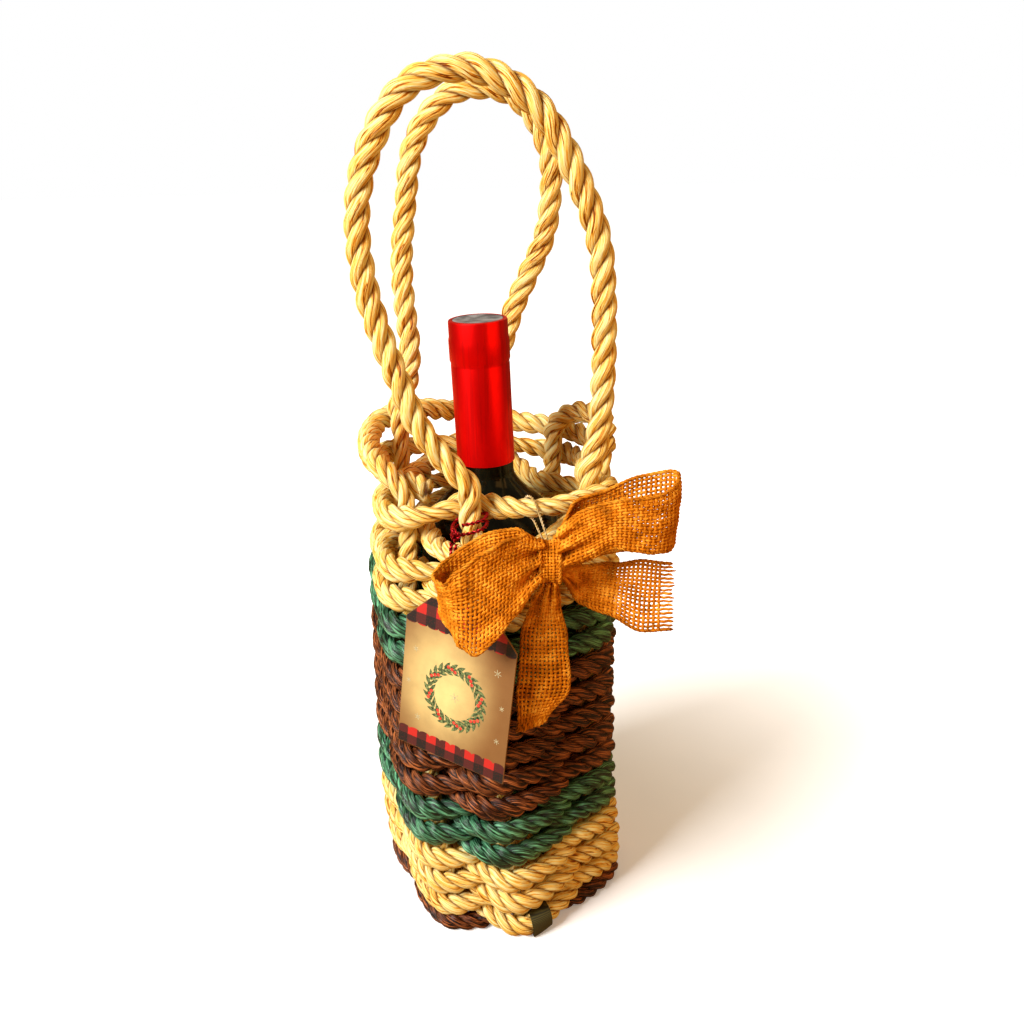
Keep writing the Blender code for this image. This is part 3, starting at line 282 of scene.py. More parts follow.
CORD_RING_SHARES = (
    (1, 1.0, -0.75), (0, 1.15, -1.0), (0, 0.0, -1.12), (0, -1.0, -0.85), (0, -1.0, 0.0),
    (0, -1.0, 0.85), (0, 0.0, 1.12), (0, 1.15, 0.95), (1, 1.0, -0.25),
)
BAND_LENGTH = 11.5 * MM
BAND_CLEARANCE = 0.75 * MM
BAND_THICKNESS = 0.4 * MM

# Print of the tag
PRINT_MARGIN = 0.15 * MM
PRINT_RELIEF = 0.05 * MM
PRINT_SINK = 0.02 * MM
TOP_BAND_DROP = 1.5 * MM
BOTTOM_BAND_HEIGHT = 8.5 * MM
SCALLOP_WIDTH = 6.4 * MM
SCALLOP_DEPTH = 1.3 * MM
WREATH_X = 0.0 * MM
WREATH_Z = -6.0 * MM
WREATH_RADIUS = 14.5 * MM
# Leaves in each ring, how far it lies out from the middle one, their lean in degrees and their size
WREATH_RINGS = ((26, 1.6 * MM, 38, 1.0), (24, 0.0, -34, 0.95), (22, -1.7 * MM, 150, 0.9))
WREATH_RING_SHIFT = 0.37
LEAF_LENGTH = 6.2 * MM
LEAF_SWAY = 12
LEAF_SHARES = ((0.13, -0.45), (0.17, 0.05), (0.10, 0.55))
BERRY_RADIUS = 0.9 * MM
BERRY_SIDES = 12
BERRY_GROUPS = 8
BERRY_STEP = 1.1 * MM
BERRY_TURN = 7
BERRY_FIRST_TURN = 11
FROST_BAR = 0.28 * MM
FROST_ARMS = 3
FROST_TURN = 15
FROST_PLACES = (
    (-24 * MM, 12 * MM, 3.2 * MM), (22 * MM, 15 * MM, 4.0 * MM), (-20 * MM, -24 * MM, 3.6 * MM),
    (25 * MM, -20 * MM, 3.0 * MM), (0 * MM, -6 * MM, 5.0 * MM), (26 * MM, -2 * MM, 2.6 * MM),
    (-27 * MM, -6 * MM, 2.8 * MM),
)

# Making of the ropes and cords
STRANDS = 3
STRAND_STEP = 2.1 * MM
STRAND_SIDES = 16
STRAND_SHARE = 0.57
STRAND_SWELL = 0.07
SWELLS_PER_METRE = 45
ROPE_GROOVE_SHARE = 0.42
YARNS = 8
YARN_SHARE = 0.03
# The woven ropes are drawn in tighter than the handles, so their strands turn sooner.
WOVEN_LAY_SHARE = 0.76
PLY_SIDES = 6
PLY_SHARE = 0.56
PLY_GROOVE_SHARE = 0.5
CORD_LAY = CORD_DIAMETER * 2.4
TWINE_LAY = TWINE_DIAMETER * 3.2
LINE_PARTS = 10
LEAST_STEPS = 4
ROUTE_PARTS = 12
STAKE_STEPS = 16
HANDLE_STEPS = 34
TWINE_STEPS = 130
STRAND_ROUTE_STEPS = 90
RING_STEPS = 110
CURL_STEPS = 72

# Making of the burlap: heights and widths are in thread widths
LEAST_THREADS = 4
THREAD_SIDES = 5
THREAD_HALF_WIDTH = 0.5
THREAD_HALF_HEIGHT = 0.34
THREAD_CRIMP = 0.30
THREAD_LUMPS = 0.25
LUMPS_PER_METRE = 90
THREAD_WANDER = 0.3
WANDERS_PER_METRE = 120
PLEATS = 2.6
PLEAT_HEIGHT = 1.9
PLEAT_REACH = RIBBON_WIDTH * 0.55
PLEAT_EASE = 1.5
SWAY_HEIGHT = 0.7
SWAYS_PER_METRE = 55
CURL_HEIGHT = 0.8
CURL_LEVEL_SHARE = 0.4
# The fibre pattern starts further on in each next thread, so that it doesn't repeat
LENGTHWISE_SHIFT = 13 * MM
CROSSWISE_SHIFT = 17 * MM
FRINGE_LEAST = 0.5 * MM
FRINGE_SPREAD = 2.2 * MM
FRINGE_DROOP = 1.5 * MM
FRINGE_TIP_SHARE = 0.45
FRINGE_STEPS = 4
EDGE_CORD_WIDTH = 1.45
EDGE_CORD_LAY = 5.5
EDGE_CORD_PLIES = 3
KNOT_STEPS = 12
KNOT_HALF_SHARE = 0.62
KNOT_PITCH_SHARE = 0.72
KNOT_THREAD_SHARE = 0.85

# Making of the round pieces, the scallops and the band
ROUND_SIDES = 96
ROUND_SMOOTH_ANGLE = 40
SHOULDER_STEPS = 12
SCALLOP_STEPS = 6
BAND_SIDES = 32
BAND_STEPS = 8
BAND_SMOOTH_ANGLE = 50
BAND_SQUARENESS = 0.8

# Patterns of the finishes, in repeats per metre along each axis
YARN_PATCHES = 160
CARD_FIBRES = 90
CARD_GRAIN = 2500
CHECK_WEAR = 1400
INK_GRAIN = (900, 900, 900)
FOIL_STREAKS = (420, 420, 14)
DISC_CLOUDS = (140, 140, 140)
GLASS_STREAKS = (160, 160, 20)
CORK_PORES = (900, 900, 900)
WINE_CLOUDS = (12, 12, 12)
TAPE_RIBS = 420
FLOOR_CLOUDS = 30

# Stage: places in metres, angles in degrees
CAMERA_PLACE = (0, -488.4 * MM, 414.3 * MM)
CAMERA_PITCH = -21.426
CAMERA_YAW = -0.954
CAMERA_ROLL = -1.268
CAMERA_NEAR = 10 * MM
SENSOR_WIDTH = 36.0
# Each lamp's name, power setting and share of it, place, size and colour
LAMPS = (
    ("key_lamp", "key_power", 1, (-0.95, -0.75, 0.95), 0.6, (1, 1, 1)),
    ("fill_lamp", "fill_power", 1, (0.95, -0.65, 0.6), 0.9, (1, 0.48, 0.1)),
    ("top_lamp", "fill_power", 1 / 3, (0.1, 0.5, 1.2), 0.8, (1, 0.8, 0.55)),
)
LAMP_AIM = Vector((0, 0, 0.2))
SURROUND_COLOUR = (1, 0.76, 0.44, 1)
SURROUND_LIGHT = 0.26
FLOOR_SIZE = 12
FLOOR_DROP = 0.2 * MM
FLOOR_SHADE_START = 80 * MM
FLOOR_SHADE_END = 420 * MM
FLOOR_LEAST_WHITE = 0.16

# Sizes that follow from the ones above
STAKES = len(STAKE_ANGLES)
ROW_PITCH = CROSSING_HEIGHT + CROSSING_GAP
FLOAT_OFFSET = (FLOAT_WIDTH + STAKE_THICKNESS) / 2 + STAKE_GAP
STAKE_CIRCLE = BOTTLE_RADIUS + POCKET_CLEARANCE + FLOAT_WIDTH / 2 + FLOAT_OFFSET
BOTTLE_TILT = math.hypot(BOTTLE_LEAN_X, BOTTLE_LEAN_Y) / SHOULDER_HEIGHT
BOTTLE_FOOT_Z = BASE_ROPE_HEIGHT + CLEARANCE + BOTTLE_RADIUS * BOTTLE_TILT
UP = Vector((0, 0, 1))

# Bands of the weave: the node that each stands for, its first and last row, its dye and its noise seed
WEAVE_BANDS = (
    ("weave_natural_low", 1, 7, "natural", 0.0), ("weave_green_low", 7, 11, "green", 1.3),
    ("weave_brown", 11, 21, "brown", 2.6), ("weave_green_high", 21, 25, "green", 3.9),
    ("weave_rim", 25, RIM_ROW + 1, "natural", 4.1),
)


def colour_setting(name, description, code):
    return bpy.props.StringProperty(name=name, description=description + ", sRGB hex", default=code)


def length_setting(name, description, length):
    return bpy.props.FloatProperty(name=name, description=description, default=length, unit="LENGTH")


def power_setting(name, description, power):
    return bpy.props.FloatProperty(name=name, description=description, default=power, unit="POWER")


class RopeSettings(bpy.types.PropertyGroup):
    """Sizes and colours of the laid rope."""

    lay: length_setting("Lay length", "Length of one full turn of a strand", 33 * MM)
    fibre: length_setting("Fibre width", "Width of the fibre bundles that show", 0.5 * MM)
    natural: colour_setting("Natural rope", "Straw yellow", "FFCC58")
    green: colour_setting("Green rope", "Dyed dark green", "0C381F")
    brown: colour_setting("Brown rope", "Dyed red-brown", "3A1104")


class BowSettings(bpy.types.PropertyGroup):
    """Sizes and colours of the burlap bow."""

    thread_pitch: length_setting("Thread spacing", "From one burlap thread to the next", 2.15 * MM)
    thread_width: length_setting("Thread width", "Width of one burlap thread", 1.35 * MM)
    burlap: colour_setting("Burlap", "Golden brown jute", "D47800")
    twine: colour_setting("Twine", "Pale two-ply twine", "D3AE68")


class TagSettings(bpy.types.PropertyGroup):
    """Sizes and colours of the printed tag and its cord."""

    check: length_setting("Check size", "One square of the buffalo check", 5.6 * MM)
    paper: colour_setting("Card", "Aged cream card", "DEC07A")
    print_red: colour_setting("Print red", "Red ink", "BE1C14")
    print_green: colour_setting("Print green", "Dark green ink", "3B4A2A")
    cord: colour_setting("Cord", "Red metallic cord", "B5121B")


class BottleSettings(bpy.types.PropertyGroup):
    """Colours of the bottle."""

    foil: colour_setting("Foil", "Red metallic capsule", "FF0000")
    glass: colour_setting("Glass", "Black-green bottle glass", "0D0E07")


class StageSettings(bpy.types.PropertyGroup):
    """Lamps and camera."""

    key_power: power_setting("Key lamp", "Power of the left lamp", 34.0)
    fill_power: power_setting("Fill lamp", "Power of the right lamp", 5.0)
    lens: bpy.props.FloatProperty(name="Lens", description="Focal length on a 36 mm sensor", default=35.4)


# Small helpers

def linear(code):
    """An sRGB hex colour as linear red, green, blue and alpha."""
    channels = [int(code[i:i + 2], 16) / 255 for i in (0, 2, 4)]
    return (*[c / 12.92 if c <= 0.04045 else ((c + 0.055) / 1.055) ** 2.4 for c in channels], 1.0)


def tint(code, share):
    """The hex colour made darker (share below 1) or lighter (above 1), in linear light."""
    return (*[min(c * share, 1.0) for c in linear(code)[:3]], 1.0)


def tints(code, *stops):
    """Ramp stops of one hex colour, each given as its place and its tint's share."""
    return [(place, tint(code, share)) for place, share in stops]


def feed(tree, socket, source):
    """Sets a socket to a plain value or a hex colour, or links it to a socket or to a node's first
    output in use."""
    if isinstance(source, str):
        source = linear(source)
    if isinstance(source, bpy.types.Node):
        source = next(output for output in source.outputs if output.enabled)
    if isinstance(source, bpy.types.NodeSocket):
        tree.links.new(source, socket)
    else:
        socket.default_value = source


def add_node(tree, kind, inputs=None, stops=(), **settings):
    """Adds a shader node: settings are its properties, inputs its sockets' values or what feeds them,
    and stops the places and colours of a ramp, as hex codes or linear."""
    made = tree.nodes.new(kind)
    for key, value in settings.items():
        setattr(made, key, value)
    for key, source in (inputs or {}).items():
        feed(tree, made.inputs[key], source)
    for i, (place, colour) in enumerate(stops):
        elements = made.color_ramp.elements
        element = elements[i] if i < 2 else elements.new(place)
        element.position = place
        element.color = linear(colour) if isinstance(colour, str) else colour
    return made


def set_shader(look, **sources):
    """Sets or feeds the sockets of a material's Principled shader."""
    shader = look.node_tree.nodes["Principled BSDF"]
    for key, source in sources.items():
        feed(look.node_tree, shader.inputs[key.replace("_", " ")], source)
    return look


def new_look(name, **values):
    """A material with its Principled shader's plain values set, and its node tree."""
    look = bpy.data.materials.new(name)
    look.use_nodes = True
    return set_shader(look, **values), look.node_tree


def smooth_step(value):
    value = min(max(value, 0.0), 1.0)
    return value * value * (3 - 2 * value)


def uneven(*place):
    """Smooth noise about zero. The number that a thread's own number is multiplied by at each call only
    keeps its noise apart from its neighbours'."""
    return noise.noise(Vector(place))


def deselect():
    if bpy.context.mode != "OBJECT":
        bpy.ops.object.mode_set(mode="OBJECT")
    bpy.ops.object.select_all(action="DESELECT")


def new_mesh(name, points, faces):
    mesh = bpy.data.meshes.new(name)
    mesh.from_pydata(points, [], faces)
    made = bpy.data.objects.new(name, mesh)
    bpy.context.scene.collection.objects.link(made)
    return made


def finish_edit():
    """Turns all faces of the closed piece in edit mode outwards, and ends the edit."""
    bpy.ops.mesh.select_all(action="SELECT")
    bpy.ops.mesh.normals_make_consistent(inside=False)
    bpy.ops.object.mode_set(mode="OBJECT")


def turn_outwards(made):
    deselect()
    made.select_set(True)
    bpy.context.view_layer.objects.active = made
    bpy.ops.object.mode_set(mode="EDIT")
    finish_edit()


def give_look(made, look):
    made.data.materials.clear()
    made.data.materials.append(look)


def placed(made, name, look, place=None):
    """Names a piece, gives it its look and puts its place into its mesh."""
    made.name = name
    made.data.name = name
    give_look(made, look)
    made.data.transform((place or Matrix.Identity(4)) @ made.matrix_basis)
    made.matrix_basis = Matrix.Identity(4)
    return made


def dress(piece, body, slot, *nodes):
    """The piece rides on a body and stands for its CAD nodes. Its slot is not used."""
    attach(piece, body)
    if nodes:
        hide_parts(*nodes)


# Tubes: ropes, threads, twine and cord are all made of them

class Tubes:
    """Closed tubes gathered into one mesh. The UV map is in metres, along and round each tube,
    and the attribute groove says how deep a point lies in the rope, for the painted shade in its grooves."""

    def __init__(self):
        self.points = []
        self.faces = []
        self.coordinates = []
        self.grooves = []

    def add(self, rings, distances, girth, grooves=None):
        start = len(self.points)
        sides = len(rings[0])
        for ring in rings:
            self.points.extend(ring)
        self.grooves.extend(grooves or [0.0] * (sides * len(rings)))
        for i in range(len(rings) - 1):
            low = start + i * sides
            high = low + sides
            here, there = distances[i], distances[i + 1]
            for j in range(sides):
                k = (j + 1) % sides
                self.faces.append((low + j, low + k, high + k, high + j))
                near = girth * j / sides
                far = girth * (j + 1) / sides
                self.coordinates.extend(((here, near), (here, far), (there, far), (there, near)))
        last = start + (len(rings) - 1) * sides
        self.faces.append(tuple(range(start + sides - 1, start - 1, -1)))
        self.faces.append(tuple(range(last, last + sides)))
        for place in (distances[0], distances[-1]):
            self.coordinates.extend((place, girth * j / sides) for j in range(sides))

    def make(self, name, look):
        made = new_mesh(name, self.points, self.faces)
        layer = made.data.uv_layers.new(name="along")
        layer.data.foreach_set("uv", [value for pair in self.coordinates for value in pair])
        groove = made.data.attributes.new("groove", "FLOAT", "POINT")
        groove.data.foreach_set("value", self.grooves)
        made.data.polygons.foreach_set("use_smooth", [True] * len(self.faces))
        give_look(made, look)
        return made


def distances_along(points):
    lengths = [0.0]
    for a, b in zip(points, points[1:]):
        lengths.append(lengths[-1] + (b - a).length)
    return lengths


def evenly(lengths, count):
    """For each of count even places on a line: the stretch it lies on, and its share of that stretch."""
    index = 0
    for number in range(count):
        target = lengths[-1] * number / (count - 1)
        while index < len(lengths) - 2 and lengths[index + 1] < target:
            index += 1
        span = lengths[index + 1] - lengths[index]
        yield index, (target - lengths[index]) / span if span else 0.0


def smooth_route(points, steps):
    """Evenly spaced points on a smooth curve through the given ones."""
    dense = []
    last = len(points) - 1
    for i in range(last):
        p0 = points[max(i - 1, 0)]
        p1 = points[i]
        p2 = points[i + 1]
        p3 = points[min(i + 2, last)]
        for j in range(ROUTE_PARTS):
            t = j / ROUTE_PARTS
            bend = (2 * p0 - 5 * p1 + 4 * p2 - p3) * t ** 2 + (3 * p1 - p0 - 3 * p2 + p3) * t ** 3
            dense.append(0.5 * (2 * p1 + (p2 - p0) * t + bend))
    dense.append(points[-1])
    return [dense[i].lerp(dense[i + 1], part) for i, part in evenly(distances_along(dense), steps)]


def tangents(points):
    last = len(points) - 1
    return [(points[min(i + 1, last)] - points[max(i - 1, 0)]).normalized() for i in range(last + 1)]


def carried_frames(flow):
    """Two directions square to the line at each point, carried along it without twisting."""
    side = flow[0].orthogonal().normalized()
    frames = []
    for direction in flow:
        side = (side - direction * side.dot(direction)).normalized()
        frames.append((side.copy(), direction.cross(side)))
    return frames


def resample(stations, step):
    """Stations every step on a smooth line through the given ones: centre, side, up, half width and
    half height."""
    places = [station[0] for station in stations]
    knots = [0.0]
    for a, b in zip(places, places[1:]):
        knots.append(knots[-1] + math.sqrt((b - a).length))
    last = len(places) - 1

    def pace(first, following):
        return (places[following] - places[first]) / (knots[following] - knots[first])

    slopes = [pace(0, 1)]
    for i in range(1, last):
        slopes.append(pace(i - 1, i) + pace(i, i + 1) - pace(i - 1, i + 1))
    slopes.append(pace(last - 1, last))
    dense = []
    for i in range(last):
        width = knots[i + 1] - knots[i]
        for j in range(LINE_PARTS):
            t = j / LINE_PARTS
            squared = t * t
            cubed = squared * t
            point = places[i] * (2 * cubed - 3 * squared + 1)
            point += slopes[i] * (width * (cubed - 2 * squared + t))
            point += places[i + 1] * (3 * squared - 2 * cubed) + slopes[i + 1] * (width * (cubed - squared))
            dense.append((point, i, t))
    dense.append((places[-1], last - 1, 1.0))
    lengths = distances_along([item[0] for item in dense])
    count = max(int(lengths[-1] / step), LEAST_STEPS)
    result = []
    for index, part in evenly(lengths, count + 1):
        point, first, reached = dense[index]
        next_point, next_first, next_reached = dense[index + 1]
        following = next_reached if next_first == first else 1.0
        share = smooth_step(reached * (1 - part) + following * part)
        mixed = [a * (1 - share) + b * share for a, b in zip(stations[first][1:], stations[first + 1][1:])]
        result.append((point.lerp(next_point, part), *mixed))
    return result


def groove_depth(x, y, share):
    """How deep a point of the round section lies: 0 on its outside and 1 from the given share inwards."""
    return min(max((1.0 - math.hypot(x, y)) / share, 0.0), 1.0)


def laid_rope(name, stations, look, lay, seed=0.0):
    """Three strands laid round each other, pressed to the section that the stations give. The yarns of
    each strand are twisted the other way, so their ridges run along the rope: each has two sides."""
    line = resample(stations, STRAND_STEP)
    centres = [station[0] for station in line]
    flow = tangents(centres)
    frames = carried_frames(flow)
    distances = distances_along(centres)
    reach = 1.0 - STRAND_SHARE
    tubes = Tubes()
    for strand in range(STRANDS):
        rings, grooves = [], []
        for i, (centre, side, _, half_width, half_height) in enumerate(line):
            e1, e2 = frames[i]
            side = (side - flow[i] * side.dot(flow[i])).normalized()
            up = flow[i].cross(side)
            turned_to = 2 * math.pi * (distances[i] / lay + strand / STRANDS) + seed
            swell = 1 + STRAND_SWELL * uneven(distances[i] * SWELLS_PER_METRE, strand * 9.1 + seed, seed)
            ring = []
            for j in range(STRAND_SIDES):
                angle = 2 * math.pi * j / STRAND_SIDES
                radius = STRAND_SHARE * (swell + (YARN_SHARE if j % 2 else -YARN_SHARE))
                x = math.cos(turned_to) * reach + math.cos(angle) * radius
                y = math.sin(turned_to) * reach + math.sin(angle) * radius
                spot = e1 * x + e2 * y
                ring.append(centre + side * (spot.dot(side) * half_width) + up * (spot.dot(up) * half_height))
                grooves.append(groove_depth(x, y, ROPE_GROOVE_SHARE))
            rings.append(ring)
        tubes.add(rings, distances, math.pi * ROPE_DIAMETER * STRAND_SHARE, grooves)
    return tubes.make(name, look)


def add_cord(tubes, route, diameter, lay, plies=2):
    """Adds a thin cord of twisted plies along a route."""
    frames = carried_frames(tangents(route))
    distances = distances_along(route)
    for ply in range(plies):
        rings, grooves = [], []
        for centre, (e1, e2), distance in zip(route, frames, distances):
            turned_to = 2 * math.pi * (distance / lay + ply / plies)
            ring = []
            for j in range(PLY_SIDES):
                angle = turned_to + 2 * math.pi * j / PLY_SIDES
                x = math.cos(turned_to) * (1 - PLY_SHARE) + math.cos(angle) * PLY_SHARE
                y = math.sin(turned_to) * (1 - PLY_SHARE) + math.sin(angle) * PLY_SHARE
                ring.append(centre + (e1 * x + e2 * y) * (diameter / 2))
                grooves.append(groove_depth(x, y, PLY_GROOVE_SHARE))
            rings.append(ring)
        tubes.add(rings, distances, math.pi * diameter * PLY_SHARE, grooves)


def twisted_cord(name, route, diameter, look, lay):
    tubes = Tubes()
    add_cord(tubes, route, diameter, lay)
    return tubes.make(name, look)


def ribbon_stations(rail_shares, forward=0.0):
    """Middle line of a ribbon with its way across, its face's normal and its half width. Forward is how
    far its middle part stands out in front of the solid's, toward the viewer."""
    middle = Vector((BOW_X, BOW_Y, BOW_Z))
    edges = []
    for i, (upper, lower) in enumerate(rail_shares):
        out = middle + Vector((0, -forward * math.sin(math.pi * i / (len(rail_shares) - 1)), 0))
        edges.append((out + Vector(upper) * RIBBON_WIDTH, out + Vector(lower) * RIBBON_WIDTH))
    centres = [(upper + lower) / 2 for upper, lower in edges]
    stations = []
    for (upper, lower), centre, direction in zip(edges, centres, tangents(centres)):
        half = (upper - lower).length / 2
        across = (upper - lower).normalized()
        stations.append((centre, across, direction.cross(across).normalized(), half, 0.0))
    return stations


def woven_ribbon(name, stations, look, pitch, width, gathered, frayed, seed):
    """Plain weave: threads along and across the ribbon pass over and under each other. The ribbon is
    pleated toward a gathered end, and where it is frayed its lengthwise threads run out past its far
    end. Gives the ribbon, its corded edge and its length."""
    line = resample(stations, pitch / 2)
    widest = max(station[3] for station in line)
    threads = max(int(round(2 * widest / pitch)), LEAST_THREADS)
    length = distances_along([station[0] for station in line])
    crimp = width * THREAD_CRIMP
    tubes = Tubes()

    def spot(i, share):
        centre, across, normal, half, _ = line[i]
        pleat = 0.0
        for at_end, distance in zip(gathered, (length[i], length[-1] - length[i])):
            if at_end:
                pleat += max(1 - distance / PLEAT_REACH, 0.0) ** PLEAT_EASE
        ripple = math.cos(share * math.pi * PLEATS + seed) * pleat * width * PLEAT_HEIGHT
        sway = uneven(length[i] * SWAYS_PER_METRE, share * 2.2, seed) * width * SWAY_HEIGHT
        curl = (share * share - CURL_LEVEL_SHARE) * width * CURL_HEIGHT
        return centre + across * (half * share) + normal * (ripple + sway + curl), normal

    def add_thread(course, start):
        points = [point for point, _, _ in course]
        rings = []
        for (point, normal, thick), direction in zip(course, tangents(points)):
            e1 = direction.cross(normal).normalized()
            e2 = direction.cross(e1)
            ring = []
            for j in range(THREAD_SIDES):
                angle = 2 * math.pi * (j + 0.5) / THREAD_SIDES
                x = math.cos(angle) * thick * THREAD_HALF_WIDTH
                y = math.sin(angle) * thick * THREAD_HALF_HEIGHT
                ring.append(point + e1 * x + e2 * y)
            rings.append(ring)
        tubes.add(rings, [start + distance for distance in distances_along(points)], math.pi * width)

    for j in range(threads + 1):
        course = []
        for i, distance in enumerate(length):
            wander = uneven(distance * WANDERS_PER_METRE, j * 3.7, seed + 5) * THREAD_WANDER / threads
            place, normal = spot(i, min(max(-1 + 2 * j / threads + wander, -1.0), 1.0))
            over = 0.0 if i % 2 else crimp * (1 if (i // 2 + j) % 2 else -1)
            lump = 1 + THREAD_LUMPS * uneven(distance * LUMPS_PER_METRE, j * 5.1, seed)
            course.append((place + normal * over, normal, width * lump))
        if frayed:
            tip, normal, _ = course[-1]
            loose = abs(uneven(j * 7.3, seed, 1)) * FRINGE_SPREAD + FRINGE_LEAST
            reach = (tip - course[-3][0]).normalized() * loose
            droop = normal * (uneven(j * 2.9, seed, 3) * FRINGE_DROOP)
            course.append((tip + reach + droop, normal, width * FRINGE_TIP_SHARE))
        add_thread(course, j * LENGTHWISE_SHIFT)
    for i in range(0, len(line) - (FRINGE_STEPS if frayed else 0), 2):
        course = []
        for half_step in range(2 * threads + 1):
            share = -1 + half_step / threads
            place, normal = spot(i, share)
            over = 0.0 if half_step % 2 else crimp * (-1 if (i // 2 + half_step // 2) % 2 else 1)
            lump = 1 + THREAD_LUMPS * uneven(share * 6, i * 2.3, seed + 9)
            course.append((place + normal * over, normal, width * lump))
        add_thread(course, i * CROSSWISE_SHIFT)
    edges = Tubes()
    for share in (-1, 1):
        route = [spot(i, share)[0] for i in range(len(line))]
        add_cord(edges, route, width * EDGE_CORD_WIDTH, width * EDGE_CORD_LAY, EDGE_CORD_PLIES)
    return tubes.make(name, look), edges.make(name + "_edge", look), length[-1]


# The weave's own places, as in the solids

def wall_centre(height):
    """Middle of the wall at a height: the wall leans a little to the left and back again."""
    lean = smooth_step((height - LEAN_END_HEIGHT) / LEAN_END_LENGTH) - smooth_step(height / LEAN_START_HEIGHT)
    return Vector((lean * WALL_LEAN, 0, height))


def stake_radius(height):
    taper = min(max(1 - height / TAPER_HEIGHT, 0.0), 1.0)
    return STAKE_CIRCLE - BASE_TAPER * taper * taper


def stake_angle(number, height):
    """Angle of a stake from the front, counted on past the last stake, turning to the left with height."""
    turns, index = divmod(number, STAKES)
    twist = STAKE_TWIST * min(height / TWIST_HEIGHT, 1.0)
    return math.radians(STAKE_ANGLES[index] + 360 * turns + twist)


def outward(angle):
    return Vector((math.sin(angle), -math.cos(angle), 0))


def along(angle):
    return Vector((math.cos(angle), math.sin(angle), 0))


def level(place):
    """Height of the weaving rope's middle where it crosses between stakes; a row steps up at the back."""
    row, part = divmod(place + ROW_LEAD_STAKES, STAKES)
    index = row - 0.5 + min(part, 0.5) + max(part - (STAKES - 0.5), 0.0)
    height = CROSSING_HEIGHT / 2 + min(index, TIGHT_ROWS) * ROW_PITCH
    height += min(max(index - TIGHT_ROWS, 0.0), RIM_ROW - TIGHT_ROWS) * LOOSE_ROW_PITCH
    height += max(index - RIM_ROW, 0.0) * LAST_ROW_PITCH
    return height


def rim_lift(place):
    """Extra height of the rim row, read between its stakes."""
    position = place - RIM_ROW * STAKES
    if position < -1 or position > len(RIM_LIFT_SHARES):
        return 0.0
    table = (0.0, *RIM_LIFT_SHARES, 0.0)
    index = min(int(math.floor(position + 1)), len(table) - 2)
    part = position + 1 - index
    return (table[index] * (1 - part) + table[index + 1] * part) * ROW_PITCH


def float_height(number):
    """Height of the rope's middle where it passes stake number."""
    if number < COIL_ROW_STAKES:
        return BASE_ROPE_HEIGHT / 2
    height = level(number) + rim_lift(number)
    if number % 2 == 0 and number // 2 < len(FLOAT_DIP_SHARES):
        height += FLOAT_DIP_SHARES[number // 2] * ROW_PITCH
    return height


def stake_point(number, height):
    angle = stake_angle(number, height)
    return wall_centre(height) + outward(angle) * stake_radius(height)


def stake_direction(number, height):
    """Way an upright rope runs at a height."""
    reach = FLOAT_HEIGHT / 2
    return (stake_point(number, height + reach) - stake_point(number, height - reach)).normalized()


def passing(number, shift):
    """Station of the weaving rope beside a stake, shifted along the wall; even numbers pass outside."""
    side = 1 if number % 2 == 0 else -1
    height = float_height(number)
    radius = stake_radius(height) + side * FLOAT_OFFSET
    angle = stake_angle(number, height) + shift / radius
    centre = wall_centre(height) + outward(angle) * radius
    if number < COIL_ROW_STAKES:
        return (centre, outward(angle), UP, FLOAT_WIDTH / 2, BASE_ROPE_HEIGHT / 2)
    up = stake_direction(number, height)
    side = (outward(angle) - up * outward(angle).dot(up)).normalized()
    half_height = min(FLOAT_HEIGHT / 2 * FLOAT_SWELL, height)
    return (centre, side, up, FLOAT_WIDTH / 2, half_height)


def crossing(number):
    """Station of the weaving rope midway between a stake and the next one."""
    height = level(number + 0.5) + rim_lift(number + 0.5)
    angle = (stake_angle(number, height) + stake_angle(number + 1, height)) / 2
    centre = wall_centre(height) + outward(angle) * stake_radius(height)
    return (centre, outward(angle), UP, CROSSING_WIDTH / 2, CROSSING_HEIGHT / 2 * CROSSING_SWELL)


def weaving_stations(first, last, from_middle, to_middle):
    """Stations from stake first to stake last; a cut end lies at the stake's middle."""
    stations = []
    for number in range(first, last + 1):
        if number == first and from_middle:
            stations.append(passing(number, JOIN_GAP / 2))
        else:
            stations.append(passing(number, -WRAP_LENGTH / 2))
        if number == last and to_middle:
            stations.append(passing(number, -JOIN_GAP / 2))
        else:
            stations.append(passing(number, WRAP_LENGTH / 2))
        if number < last:
            stations.append(crossing(number))
    return stations


def share_between(table, angle):
    for (first_angle, first), (next_angle, following) in zip(table, table[1:]):
        if angle <= next_angle:
            return first + (following - first) * (angle - first_angle) / (next_angle - first_angle)
    return table[-1][1]


def coil_share(angle):
    """Radius of the base coil's middle line in coil pitches at an angle counted on through its turns."""
    if angle >= COIL_OUTER_SHARES[0][0]:
        return share_between(COIL_OUTER_SHARES, angle)
    turn_number, part = divmod(angle - COIL_TURN_SHARES[0][0], 360)
    return turn_number + share_between(COIL_TURN_SHARES, part + COIL_TURN_SHARES[0][0])


